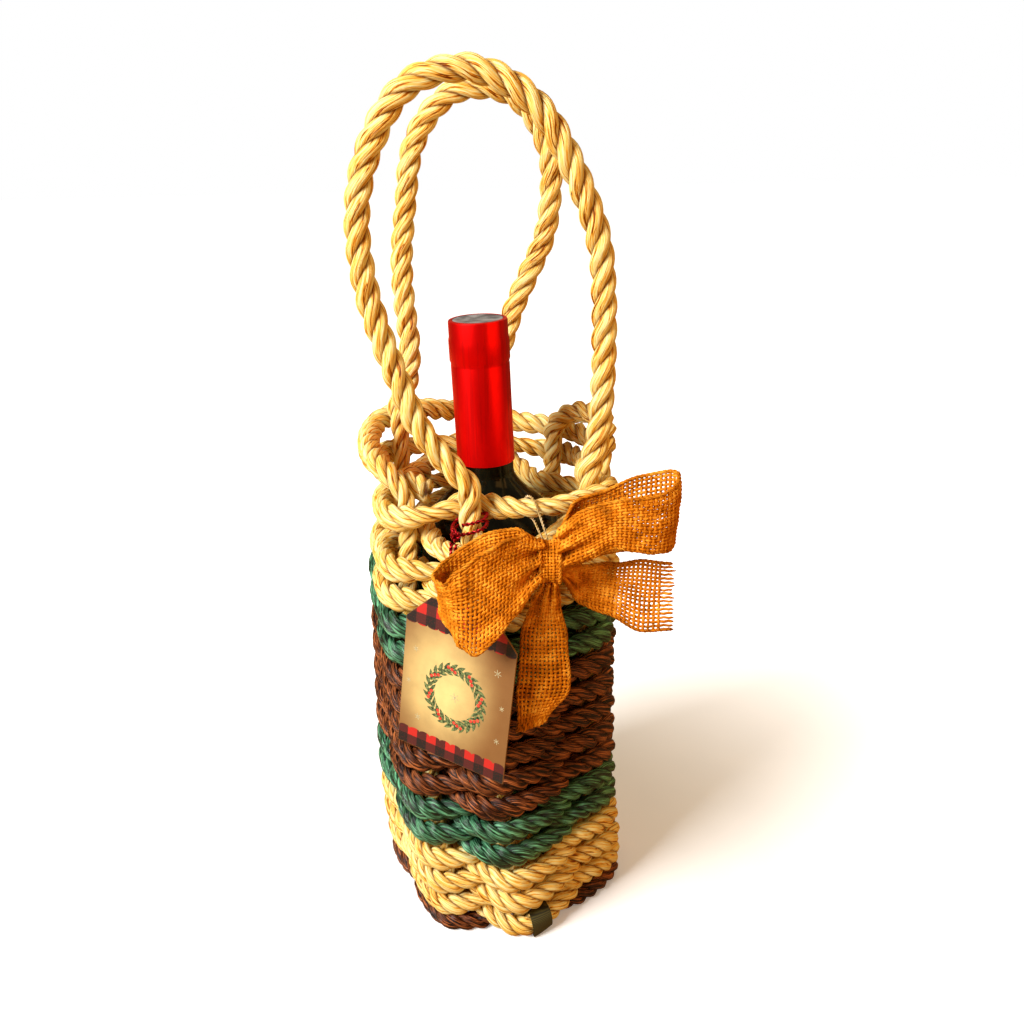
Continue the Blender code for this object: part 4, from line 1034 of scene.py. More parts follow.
def base_coil_stations():
    """The base rope: wound flat from the middle, then out between two stakes and once round the wall."""
    centres = [Vector((COIL_START_LENGTH, 0, 0)), Vector((0, 0, 0))]
    last = COIL_OUTER_SHARES[-1][0]
    tight = [angle for angle, _ in COIL_TURN_SHARES[:COIL_TIGHT_STEPS]]
    for angle in [*tight, *range(tight[-1] + COIL_STEP, last, COIL_STEP), last]:
        radius = coil_share(angle) * COIL_PITCH
        direction = math.radians(angle)
        centres.append(Vector((radius * math.cos(direction), radius * math.sin(direction), 0)))
    leaving = crossing(-1)
    centres.append(Vector((leaving[0].x, leaving[0].y, 0)))
    flow = tangents(centres)
    stations = []
    for i, centre in enumerate(centres):
        grown = smooth_step((i - COIL_WIDEN_START) / COIL_WIDEN_STEPS)
        width = COIL_START_WIDTH + (COIL_ROPE_WIDTH - COIL_START_WIDTH) * grown
        height = CROSSING_HEIGHT if i >= len(centres) - COIL_LOW_STEPS else BASE_ROPE_HEIGHT
        stations.append((centre + UP * (height / 2), flow[i].cross(UP), UP, width / 2, height / 2))
    stations[-1] = leaving
    return stations


def stake_stations(number, top):
    """Stations of an upright rope, flattened by the weave."""
    bottom = CLEARANCE * 2
    stations = []
    for i in range(STAKE_STEPS + 1):
        height = bottom + (top - bottom) * i / STAKE_STEPS
        angle = stake_angle(number, height)
        place = stake_point(number, height)
        stations.append((place, outward(angle), along(angle), STAKE_THICKNESS / 2, STAKE_WIDTH / 2))
    return stations


def free_rope(angles, radius_shares, height_shares, base_height):
    """Stations of a rope above the rim, with one side turned out of the wrap."""
    turned = [math.radians(angle) for angle in angles]
    points = []
    for angle, radius, height in zip(turned, radius_shares, height_shares):
        centre = wall_centre(base_height + height * ROPE_DIAMETER)
        points.append(centre + outward(angle) * (STAKE_CIRCLE + radius * ROPE_DIAMETER))
    stations = []
    for point, flow, angle in zip(points, tangents(points), turned):
        side = (outward(angle) - flow * outward(angle).dot(flow)).normalized()
        stations.append((point, side, flow.cross(side).normalized(), ROPE_DIAMETER / 2, ROPE_DIAMETER / 2))
    return stations


def eased(station):
    """The station with a section halfway between the round and the flattened one."""
    centre, side, up, _, _ = station
    return (centre, side, up, (ROPE_DIAMETER + STAKE_THICKNESS) / 4, (ROPE_DIAMETER + STAKE_WIDTH) / 4)


def consistent(stations):
    """Keeps neighbouring sections turned the same way."""
    result = [stations[0]]
    for centre, side, up, half_width, half_height in stations[1:]:
        if side.dot(result[-1][1]) < 0:
            side = -side
        if up.dot(result[-1][2]) < 0:
            up = -up
        result.append((centre, side, up, half_width, half_height))
    return result


def left_rope_stations():
    top = level(RIM_ROW * STAKES) + rim_lift(RIM_ROW * STAKES) + FLOAT_HEIGHT / 2
    free = free_rope(BACK_ROPE_ANGLES, BACK_ROPE_RADIUS_SHARES, BACK_ROPE_HEIGHT_SHARES, BACK_ROPE_HEIGHT)
    free[0] = eased(free[0])
    return consistent(stake_stations(0, top) + free)


def right_loop_stations():
    top = level(RIM_ROW * STAKES + 3) + rim_lift(RIM_ROW * STAKES + 3) + FLOAT_HEIGHT / 2
    free = free_rope(LOOP_ANGLES, LOOP_RADIUS_SHARES, LOOP_HEIGHT_SHARES, LOOP_HEIGHT)
    free[0] = eased(free[0])
    free[-1] = eased(free[-1])
    return consistent(stake_stations(4, top) + free + stake_stations(3, top)[::-1])


def handle_stations(numbers, shares, hinge_height, rise):
    """One rope: up a stake, round the handle and down the other stake."""
    first, last = (stake_point(number, hinge_height) for number in numbers)
    points = [first]
    for across, back, up in shares:
        points.append(Vector((across * HANDLE_SPREAD, back * HANDLE_SPREAD, hinge_height + up * rise)))
    points.append(last)
    route = smooth_route(points, HANDLE_STEPS)
    radius = ROPE_DIAMETER / 2
    top = hinge_height - ROPE_DIAMETER
    rising = stake_stations(numbers[0], top)
    falling = stake_stations(numbers[1], top)[::-1]
    side = rising[-1][1]
    loop = []
    for point, direction in zip(route, tangents(route)):
        side = (side - direction * side.dot(direction)).normalized()
        loop.append((point, side, direction.cross(side), radius, radius))
    turned = [(c, loop[-1][1], loop[-1][2], (w + h) / 2, (w + h) / 2) for c, _, _, w, h in falling]
    return rising + loop + turned


def cord_knot_place():
    """The tag cord's knot lies in front of the front left stake, between the last two rows."""
    angle = stake_angle(1, CORD_KNOT_HEIGHT)
    centre = stake_point(1, CORD_KNOT_HEIGHT)
    return centre + outward(angle) * CORD_KNOT_REACH - along(angle) * CORD_KNOT_SHIFT


def tag_frame():
    turned = Matrix.Rotation(math.radians(TAG_TURN), 4, "Z")
    tilted = Matrix.Rotation(math.radians(-TAG_TILT), 4, "X")
    rolled = Matrix.Rotation(math.radians(TAG_ROLL), 4, "Y")
    return Matrix.Translation((TAG_X, TAG_Y, TAG_Z)) @ turned @ tilted @ rolled


def bottle_pose():
    """The bottle leans a little in its pocket."""
    lean = Vector((BOTTLE_LEAN_X, BOTTLE_LEAN_Y, SHOULDER_HEIGHT)).normalized()
    turned = UP.rotation_difference(lean).to_matrix().to_4x4()
    return Matrix.Translation((BOTTLE_FOOT_X, BOTTLE_FOOT_Y, BOTTLE_FOOT_Z)) @ turned


def twine_route():
    """The twine's round of the rim rope, down to the bow's knot and back."""
    place = crossing(RIM_ROW * STAKES + 1)
    before = passing(RIM_ROW * STAKES + 1, WRAP_LENGTH / 2)
    centre = place[0].lerp(before[0], TWINE_PLACE_SHARE)
    side = place[1]
    out = place[3] + TWINE_DIAMETER / 2 + CLEARANCE
    up = FLOAT_HEIGHT / 2 + TWINE_DIAMETER / 2
    down = (CROSSING_HEIGHT + FLOAT_HEIGHT) / 4 + TWINE_DIAMETER / 2 + CLEARANCE
    knot = Vector((BOW_X, BOW_Y + KNOT_DEPTH / 2 + TWINE_KNOT_REACH, BOW_Z + TWINE_KNOT_RISE))
    points = []
    for turned_to, reach in TWINE_LOOP_SHARES:
        height = math.sin(math.radians(turned_to)) * (up * TWINE_SEAT_SHARE if turned_to < 180 else down)
        points.append(centre + side * (math.cos(math.radians(turned_to)) * out * reach) + UP * height)
    first, lowest = points[0], points[-1]
    for end, shares in ((lowest, TWINE_DOWN_SHARES), (first, TWINE_BACK_SHARES)):
        points += [end.lerp(knot, share) + UP * (TWINE_DIAMETER * rise) for share, rise in shares]
    points.append(first)
    return smooth_route(points, TWINE_STEPS)


def ring_points():
    """The red cord's two slanting turns round the front left stake."""
    angle = stake_angle(1, CORD_KNOT_HEIGHT)
    centre = stake_point(1, CORD_KNOT_HEIGHT)
    radial = STAKE_THICKNESS / 2 + CORD_LOOP_GAP + CORD_DIAMETER / 2
    across = STAKE_WIDTH / 2 + CORD_LOOP_GAP + CORD_DIAMETER / 2
    front = CORD_KNOT_REACH - CORD_KNOT_DIAMETER / 2 - CLEARANCE - CORD_DIAMETER / 2
    ring = []
    for turned_out, out, side in CORD_RING_SHARES:
        reach = front if turned_out else radial
        slant = UP * (CORD_RING_SLANT * side)
        ring.append(centre + outward(angle) * (reach * out) + along(angle) * (across * side) + slant)
    upper = [point + UP * (CORD_RING_RISE * (1 + i / len(ring))) for i, point in enumerate(ring)]
    return ring + upper


def strand_points():
    """The red cord's doubled strand from its knot through the tag's hole and back."""
    tag = tag_frame()
    hole = tag @ Vector((0, 0, TAG_HEIGHT / 2 - TAG_HOLE_DROP))
    low = hole - UP * CORD_HOLE_SAG
    brow = tag @ Vector((0, 0, TAG_HEIGHT / 2))
    forward = (tag.to_3x3() @ Vector((0, -1, 0))).normalized()
    gap = (tag.to_3x3() @ Vector((1, 0, 0))).normalized() * CORD_STRAND_GAP
    start = cord_knot_place() - UP * CORD_STRAND_DROP + forward * CORD_STRAND_LEAD
    over = TAG_THICKNESS / 2 + CORD_DIAMETER / 2 + CLEARANCE
    return [
        start - gap,
        start.lerp(brow, 0.15) - gap + forward * (CORD_STRAND_BULGE * 0.85),
        start.lerp(brow, 0.5) - gap + forward * (CORD_STRAND_BULGE * 0.75),
        brow - gap + forward * over,
        hole - gap * 0.6 + forward * over * 1.02,
        low - gap * 0.2 + forward * over * 0.75,
        low,
        low + gap * 0.2 - forward * over * 0.75,
        hole + gap * 0.6 - forward * over * 1.02,
        brow + gap - forward * over,
        start.lerp(brow, 0.5) + gap + forward * (CORD_STRAND_BULGE * 0.5),
        start.lerp(brow, 0.15) + gap + forward * (CORD_STRAND_BULGE * 0.85),
        start + gap,
    ]


def knot_curl():
    """The red cord's knot, a closed curl of three lobes."""
    centre = cord_knot_place()
    curl = []
    for i in range(CURL_STEPS + 1):
        t = 2 * math.pi * i / CURL_STEPS
        across = math.sin(t) + 2 * math.sin(2 * t)
        up = math.cos(t) - 2 * math.cos(2 * t)
        curl.append(centre + Vector((CURL_SIZE * across, -CURL_SIZE * math.sin(3 * t), CURL_SIZE * up)))
    return curl


# Print of the tag: thin plates just proud of the card

def scallops(start, end, height):
    """A row of round scallops from one side to the other, bulging downward for a rising row."""
    count = max(int(round(abs(end - start) / SCALLOP_WIDTH)), 1)
    step = (end - start) / count
    sign = -1 if end > start else 1
    row = []
    for i in range(count):
        middle = start + step * (i + 0.5)
        for k in range(SCALLOP_STEPS + 1):
            angle = math.pi * (1 - k / SCALLOP_STEPS)
            row.append((middle + step / 2 * math.cos(angle), height + sign * math.sin(angle) * SCALLOP_DEPTH))
    return row


def printed_plates(name, outlines, look, relief=PRINT_RELIEF):
    """A piece of flat closed plates on the tag's front, with a UV map of its plane."""
    points, faces = [], []
    front = -TAG_THICKNESS / 2 - relief
    back = -TAG_THICKNESS / 2 + PRINT_SINK
    for outline in outlines:
        start = len(points)
        count = len(outline)
        points += [(x, front, z) for x, z in outline] + [(x, back, z) for x, z in outline]
        faces.append(tuple(range(start, start + count)))
        faces.append(tuple(range(start + 2 * count - 1, start + count - 1, -1)))
        for i in range(count):
            j = (i + 1) % count
            faces.append((start + i, start + count + i, start + count + j, start + j))
    made = new_mesh(name, points, faces)
    layer = made.data.uv_layers.new(name="plane")
    for loop in made.data.loops:
        x, _, z = points[loop.vertex_index]
        layer.data[loop.index].uv = (x, z)
    turn_outwards(made)
    dress(placed(made, name, look, tag_frame()), "tag", "tag_card")


def set_round(outline, radius, turn, lean=0, place=(WREATH_X, WREATH_Z)):
    """The outline set at a radius and turn about a place of the card, leaning from its own ray."""
    x, z = place
    about = math.radians(turn)
    tilt = math.radians(turn + lean)
    return [(
        x + radius * math.cos(about) + a * math.cos(tilt) - b * math.sin(tilt),
        z + radius * math.sin(about) + a * math.sin(tilt) + b * math.cos(tilt),
    ) for a, b in outline]


def leaf_outline(length):
    """A pointed leaf lying along its own z."""
    edge = [(length * across, length / 2 * up) for across, up in LEAF_SHARES]
    return [(0, -length / 2), *edge, (0, length / 2), *[(-across, up) for across, up in reversed(edge)]]


def round_outline(radius):
    steps = [2 * math.pi * i / BERRY_SIDES for i in range(BERRY_SIDES)]
    return [(radius * math.cos(angle), radius * math.sin(angle)) for angle in steps]


def bar_outline(length, width):
    return [(x * width / 2, z * length / 2) for x, z in ((-1, -1), (1, -1), (1, 1), (-1, 1))]


# Round pieces of the bottle

def turned_piece(name, profile, look, open_ends=False):
    """A round piece drawn up from its lowest ring: each further ring is extruded and scaled.
    Its ends are closed, or joined to each other where the profile is a wall's."""
    deselect()
    radius, height = profile[0]
    bpy.ops.mesh.primitive_circle_add(vertices=ROUND_SIDES, radius=radius, location=(0, 0, height))
    made = bpy.context.object
    bpy.ops.object.mode_set(mode="EDIT")
    bpy.ops.mesh.select_all(action="SELECT")
    if not open_ends:
        bpy.ops.mesh.edge_face_add()
    bpy.ops.mesh.select_all(action="SELECT")
    for (before, low), (after, high) in zip(profile, profile[1:]):
        bpy.ops.mesh.extrude_edges_move(TRANSFORM_OT_translate={"value": (0, 0, high - low)})
        bpy.ops.transform.resize(value=(after / before, after / before, 1), center_override=(0, 0, high))
    if not open_ends:
        bpy.ops.mesh.edge_face_add()
    else:
        bpy.ops.mesh.select_all(action="DESELECT")
        bpy.ops.mesh.select_non_manifold()
        bpy.ops.mesh.bridge_edge_loops()
    finish_edit()
    bpy.ops.object.shade_smooth_by_angle(angle=math.radians(ROUND_SMOOTH_ANGLE))
    return placed(made, name, look, bottle_pose())


# Finishes

def rope_look(name, colours, fibre, shine, gloss, shift=0.0):
    """Laid rope of twisted fibre yarns, with its colours given as groove shade, dark, middle and light: the
    groove shade and the dark are painted shade, the light a painted highlight. Fine fibres and broader yarns
    run along each strand and the dye is uneven from yarn to yarn, its darkest and lightest tones painted
    shade and painted highlight. Painted shade makes the grooves between the strands darker and warmer. Real
    fibres are finer than shows, so they are drawn as bundles of the given width."""
    look, tree = new_look(name, Roughness=shine, Specular_IOR_Level=gloss)
    place = add_node(tree, "ShaderNodeUVMap", uv_map="along")
    layers = []
    for long_way, wide, detail in ((fibre * 18, fibre, 3.0), (fibre * 34, fibre * 4.5, 1.0)):
        stretched = add_node(tree, "ShaderNodeMapping", {
            "Vector": place, "Scale": (1 / long_way, 1 / wide, 1.0),
        })
        layers.append(add_node(tree, "ShaderNodeTexNoise", {
            "Vector": stretched, "Scale": 1.0, "Detail": detail, "Roughness": 0.65,
        }))
    fibres, yarns = layers
    height = add_node(tree, "ShaderNodeMix", {"Factor": 0.38, "A": fibres, "B": yarns}, data_type="FLOAT")
    # Thin dark lines part the yarns of a strand, and wander with the broad noise: painted shade in the gaps
    # between the yarns, which also shapes the bump.
    parts = add_node(tree, "ShaderNodeSeparateXYZ", {"Vector": place})
    yarn = math.pi * ROPE_DIAMETER * STRAND_SHARE / YARNS
    count = add_node(tree, "ShaderNodeMath", {0: parts.outputs["Y"], 1: 1 / yarn}, operation="MULTIPLY")
    wander = add_node(tree, "ShaderNodeMath", {0: yarns, 1: 2.0, 2: count}, operation="MULTIPLY_ADD")
    across = add_node(tree, "ShaderNodeMath", {0: wander, 1: 0.5}, operation="PINGPONG")
    ridge = add_node(tree, "ShaderNodeMapRange", {
        "Value": across, "From Min": 0.0, "From Max": 0.14, "To Min": 0.0, "To Max": 1.0,
    }, interpolation_type="SMOOTHSTEP")
    lined = add_node(tree, "ShaderNodeMix", {"Factor": 0.13, "A": height, "B": ridge}, data_type="FLOAT")
    # The ramp's dark end is painted shade and its light end a painted highlight, scattered by the fibre
    # noise.
    stops = [(tone + shift, colour) for tone, colour in zip((0.39, 0.45, 0.52, 0.64), colours)]
    shade = add_node(tree, "ShaderNodeValToRGB", {"Fac": lined}, stops)
    # Painted shade in the grooves between the strands: the deeper a point lies, the more of the groove
    # colour.
    groove = add_node(tree, "ShaderNodeAttribute", attribute_name="groove").outputs["Fac"]
    edge = add_node(tree, "ShaderNodeMath", {0: height, 1: -0.5, 2: groove}, operation="MULTIPLY_ADD")
    deep = add_node(tree, "ShaderNodeMapRange", {
        "Value": edge, "From Min": 0.12, "From Max": 0.70, "To Min": 0.0, "To Max": 0.92,
    }, interpolation_type="SMOOTHSTEP")
    mixed = add_node(tree, "ShaderNodeMix", {"Factor": deep, "A": shade, "B": colours[0]}, data_type="RGBA")
    bump = add_node(tree, "ShaderNodeBump", {"Height": lined, "Strength": 1.0, "Distance": 1.1 * MM})
    return set_shader(look, Base_Color=mixed, Normal=bump)


def thread_look(name, colour, light, roughness, deep, width, metallic=0.0):
    """Spun yarn: short slanted fibres along each thread, with a painted highlight on its lightest fibres and
    painted shade where threads touch.
    """
    look, tree = new_look(name, Roughness=roughness, Metallic=metallic, Specular_IOR_Level=0.15)
    place = add_node(tree, "ShaderNodeUVMap", uv_map="along")
    mapped = add_node(tree, "ShaderNodeMapping", {
        "Vector": place, "Rotation": (0, 0, 0.5), "Scale": (0.3 / width, 3.0 / width, 1.0),
    })
    fibres = add_node(tree, "ShaderNodeTexNoise", {"Vector": mapped, "Scale": 1.0, "Detail": 2.0})
    spot = add_node(tree, "ShaderNodeTexCoord").outputs["Object"]
    patches = add_node(tree, "ShaderNodeTexNoise", {"Vector": spot, "Scale": YARN_PATCHES, "Detail": 1.0})
    both = add_node(tree, "ShaderNodeMath", {0: fibres, 1: 1.0, 2: patches}, operation="MULTIPLY_ADD")
    half = add_node(tree, "ShaderNodeMath", {0: both, 1: 0.5}, operation="MULTIPLY")
    # The light colour at the ramp's top is a painted highlight.
    stops = [*tints(colour, (0.34, 0.50), (0.50, 1.0)), (0.68, light)]
    shade = add_node(tree, "ShaderNodeValToRGB", {"Fac": half}, stops)
    # Painted shade where the plies of a cord touch, from the groove depth.
    groove = add_node(tree, "ShaderNodeAttribute", attribute_name="groove").outputs["Fac"]
    dark = add_node(tree, "ShaderNodeMath", {0: groove, 1: 0.8}, operation="MULTIPLY")
    mixed = add_node(tree, "ShaderNodeMix", {"Factor": dark, "A": shade, "B": deep}, data_type="RGBA")
    bump = add_node(tree, "ShaderNodeBump", {"Height": fibres, "Strength": 0.5, "Distance": width * 0.2})
    return set_shader(look, Base_Color=mixed, Normal=bump)


def natural_rope_look(settings):
    """Laid straw-coloured rope: glossy, with painted pale yellow highlights and painted orange-brown shade in
    the grooves.
    """
    colours = ("7C3A00", "DA8412", settings.natural, "FFF6B4")
    return rope_look("natural_laid_rope", colours, settings.fibre, 0.40, 0.2)


def green_rope_look(settings):
    """Dyed laid rope: dark green with a wet-looking shine, partly from its gloss and partly painted pale
    green highlights, and painted shade in the grooves.
    """
    colours = ("010301", "03110A", settings.green, "7CCC98")
    return rope_look("green_dyed_rope", colours, settings.fibre, 0.28, 0.5, 0.025)


def brown_rope_look(settings):
    """Dyed laid rope: red-brown, a little shiny, with painted highlights, and painted shade that makes it
    almost black in the grooves.
    """
    colours = ("060100", "180501", settings.brown, "D07A44")
    return rope_look("brown_dyed_rope", colours, settings.fibre, 0.33, 0.3, 0.025)


def burlap_look(settings):
    """Jute burlap: coarse hairy yarns, golden brown and dull, with a painted highlight on the lightest fibres
    and painted shade between the plies of its corded edges.
    """
    return thread_look("jute_burlap", settings.burlap, "FFB63A", 0.75, "6A3000", settings.thread_width)


def twine_look(settings):
    """Two-ply cotton twine, pale and matt, with a painted highlight on its lightest fibres and painted shade
    where its plies touch.
    """
    return thread_look("cotton_twine", settings.twine, "FFF0CC", 0.8, "8C6B3A", TWINE_DIAMETER)


def cord_look(settings):
    """Metallic thread twisted in a red cord: it glints along each ply, partly from its metal sheen and partly
    from a painted highlight, with painted shade where the plies touch.
    """
    ply = CORD_DIAMETER * 0.5
    return thread_look("red_metallic_cord", settings.cord, "FF4048", 0.28, "3A0207", ply, metallic=0.7)


def card_look(settings):
    """Uncoated card, cream and a little foxed, with its corners browner than its middle."""
    look, tree = new_look("cream_card", Roughness=0.62)
    spot = add_node(tree, "ShaderNodeTexCoord").outputs["Object"]
    flat = add_node(tree, "ShaderNodeMapping", {
        "Vector": spot, "Location": (TAG_X, TAG_Y, TAG_Z), "Rotation": tag_frame().to_euler(),
    }, vector_type="TEXTURE")
    fibres = add_node(tree, "ShaderNodeTexNoise", {"Vector": flat, "Scale": CARD_FIBRES, "Detail": 4.0})
    stops = tints(settings.paper, (0.30, 0.84), (0.50, 1.0), (0.70, 1.12))
    shade = add_node(tree, "ShaderNodeValToRGB", {"Fac": fibres}, stops)
    shaped = add_node(tree, "ShaderNodeMapping", {
        "Vector": flat, "Scale": (2 / TAG_WIDTH, 0, 2 / TAG_HEIGHT), "Location": (0.25, 0, 0.05),
    })
    reach = add_node(tree, "ShaderNodeVectorMath", {0: shaped}, operation="LENGTH")
    aged = add_node(tree, "ShaderNodeMapRange", {
        "Value": reach, "From Min": 0.15, "From Max": 1.15, "To Min": 0.0, "To Max": 0.92,
    }, interpolation_type="SMOOTHSTEP")
    browned = add_node(tree, "ShaderNodeMix", {"Factor": aged, "A": shade, "B": "74420E"}, data_type="RGBA")
    grain = add_node(tree, "ShaderNodeTexNoise", {"Vector": flat, "Scale": CARD_GRAIN, "Detail": 2.0})
    bump = add_node(tree, "ShaderNodeBump", {"Height": grain, "Strength": 0.15, "Distance": 0.05 * MM})
    return set_shader(look, Base_Color=browned, Normal=bump)


def check_look(settings):
    """Buffalo check in flat ink: red where no stripe runs, dark red under one and black under two."""
    look, tree = new_look("buffalo_check_print", Roughness=0.55)
    place = add_node(tree, "ShaderNodeUVMap", uv_map="plane")
    pairs = 0.5 / settings.check
    scaled = add_node(tree, "ShaderNodeMapping", {
        "Vector": place, "Scale": (pairs, pairs, 1), "Location": (0.25, 0.2, 0),
    })
    parts = add_node(tree, "ShaderNodeSeparateXYZ", {"Vector": scaled})
    stripes = []
    for axis in ("X", "Y"):
        within = add_node(tree, "ShaderNodeMath", {0: parts.outputs[axis]}, operation="FRACT")
        stripes.append(add_node(tree, "ShaderNodeMath", {0: within, 1: 0.5}, operation="GREATER_THAN"))
    both = add_node(tree, "ShaderNodeMath", {0: stripes[0], 1: stripes[1]}, operation="ADD")
    half = add_node(tree, "ShaderNodeMath", {0: both, 1: 0.5}, operation="MULTIPLY")
    stops = [(0.0, settings.print_red), (0.5, "4A1310"), (1.0, "120A09")]
    shade = add_node(tree, "ShaderNodeValToRGB", {"Fac": half}, stops)
    wear = add_node(tree, "ShaderNodeTexNoise", {"Vector": place, "Scale": CHECK_WEAR, "Detail": 2.0})
    thin = add_node(tree, "ShaderNodeMapRange", {
        "Value": wear, "From Min": 0.55, "From Max": 0.8, "To Min": 0.0, "To Max": 0.35,
    })
    faded = tint(settings.print_red, 0.7)
    mixed = add_node(tree, "ShaderNodeMix", {"Factor": thin, "A": shade, "B": faded}, data_type="RGBA")
    return set_shader(look, Base_Color=mixed)


def clouded_look(name, grain, detail, stops, bump=None, uv_map=None, **values):
    """A finish with one cloudy pattern in the ramp's colours. Grain is how often it repeats in a metre
    along each axis, and bump is the strength and depth of its relief."""
    look, tree = new_look(name, **values)
    if uv_map:
        place = add_node(tree, "ShaderNodeUVMap", uv_map=uv_map)
    else:
        place = add_node(tree, "ShaderNodeTexCoord").outputs["Object"]
    mapped = add_node(tree, "ShaderNodeMapping", {"Vector": place, "Scale": grain})
    clouds = add_node(tree, "ShaderNodeTexNoise", {"Vector": mapped, "Scale": 1.0, "Detail": detail})
    set_shader(look, Base_Color=add_node(tree, "ShaderNodeValToRGB", {"Fac": clouds}, stops))
    if bump:
        strength, depth = bump
        relief = add_node(tree, "ShaderNodeBump", {"Height": clouds, "Strength": strength, "Distance": depth})
        set_shader(look, Normal=relief)
    return look


def ink_look(name, colour, light):
    """Flat printing ink, a little uneven where the card's fibres show through."""
    stops = [(0.42, colour), (0.62, light)]
    return clouded_look(name, INK_GRAIN, 3.0, stops, uv_map="plane", Roughness=0.55)


def foil_look(settings):
    """Tin foil capsule, lacquered red: a metal sheen with faint upright streaks from the spinning tool."""
    stops = tints(settings.foil, (0.35, 0.8), (0.5, 1.0), (0.68, 1.15))
    return clouded_look(
        "red_foil", FOIL_STREAKS, 2.0, stops, bump=(0.12, 0.2 * MM), Metallic=0.85, Roughness=0.40,
    )


def disc_look():
    """Bare pressed foil disc, cloudy: grey metal, with a painted pale blue reflection."""
    # Blue-grey clouds: the grey metal with a painted reflection of pale blue.
    stops = [(0.38, "6F7384"), (0.62, "D8DDEB")]
    return clouded_look("pale_foil_disc", DISC_CLOUDS, 3.0, stops, Metallic=0.6, Roughness=0.35)


def glass_look(settings):
    """Dark bottle glass full of red wine: almost black, with sharp reflections and a green-brown cast."""
    stops = tints(settings.glass, (0.45, 0.4), (0.74, 3.0))
    return clouded_look(
        "dark_bottle_glass", GLASS_STREAKS, 2.0, stops, Roughness=0.12, Specular_IOR_Level=0.22,
    )


def cork_look():
    """Bottle cork: brown with dark pores."""
    stops = [(0.35, "5A3A1C"), (0.55, "B98A55")]
    return clouded_look("bottle_cork_bark", CORK_PORES, 3.0, stops, Roughness=0.85)


def wine_look():
    """Red wine seen in depth: nearly black red, glossy."""
    stops = [(0.3, "1C0206"), (0.7, "3A050D")]
    return clouded_look("red_wine", WINE_CLOUDS, 2.0, stops, Roughness=0.05, IOR=1.34)


def tape_look():
    """Woven olive tape: fine ribs across, matt, with painted shade between the ribs."""
    look, tree = new_look("olive_woven_tape", Roughness=0.65)
    spot = add_node(tree, "ShaderNodeTexCoord").outputs["Object"]
    ribs = add_node(tree, "ShaderNodeTexWave", {
        "Vector": spot, "Scale": TAPE_RIBS, "Distortion": 0.6, "Detail": 1.0,
    }, bands_direction="Z").outputs["Fac"]
    # The darker colour between the ribs is painted shade.
    stops = [(0.2, "22210C"), (0.8, "4A4720")]
    shade = add_node(tree, "ShaderNodeValToRGB", {"Fac": ribs}, stops)
    bump = add_node(tree, "ShaderNodeBump", {"Height": ribs, "Strength": 0.4, "Distance": 0.1 * MM})
    return set_shader(look, Base_Color=shade, Normal=bump)


def seen_directly(tree):
    """1 for rays from the camera, straight or through glass, and 0 for the light that things throw."""
    paths = add_node(tree, "ShaderNodeLightPath")
    return add_node(tree, "ShaderNodeMath", {
        0: paths.outputs["Is Camera Ray"], 1: paths.outputs["Is Transmission Ray"],
    }, operation="MAXIMUM")


def floor_look():
    """White painted floor. It throws only a little warm light back up, as the photo's shaded foot shows,
    and glows less near the object, so that the shadow shows."""
    look, tree = new_look("white_painted_floor", Roughness=0.9, Emission_Color=(1, 1, 1, 1))
    spot = add_node(tree, "ShaderNodeTexCoord").outputs["Object"]
    clouds = add_node(tree, "ShaderNodeTexNoise", {"Vector": spot, "Scale": FLOOR_CLOUDS})
    stops = [(0.3, "FAFAFA"), (0.7, "FFFFFF")]
    shade = add_node(tree, "ShaderNodeValToRGB", {"Fac": clouds}, stops)
    seen = seen_directly(tree)
    bounce = add_node(tree, "ShaderNodeMix", {"Factor": seen, "A": "A07C4C", "B": shade}, data_type="RGBA")
    distance = add_node(tree, "ShaderNodeVectorMath", {0: spot}, operation="LENGTH")
    far = add_node(tree, "ShaderNodeMapRange", {
        "Value": distance, "From Min": FLOOR_SHADE_START, "From Max": FLOOR_SHADE_END,
        "To Min": FLOOR_LEAST_WHITE, "To Max": 1.0,
    }, interpolation_type="SMOOTHSTEP")
    lit = add_node(tree, "ShaderNodeMath", {0: seen, 1: far}, operation="MULTIPLY")
    return set_shader(look, Base_Color=bounce, Emission_Strength=lit)


# Operators

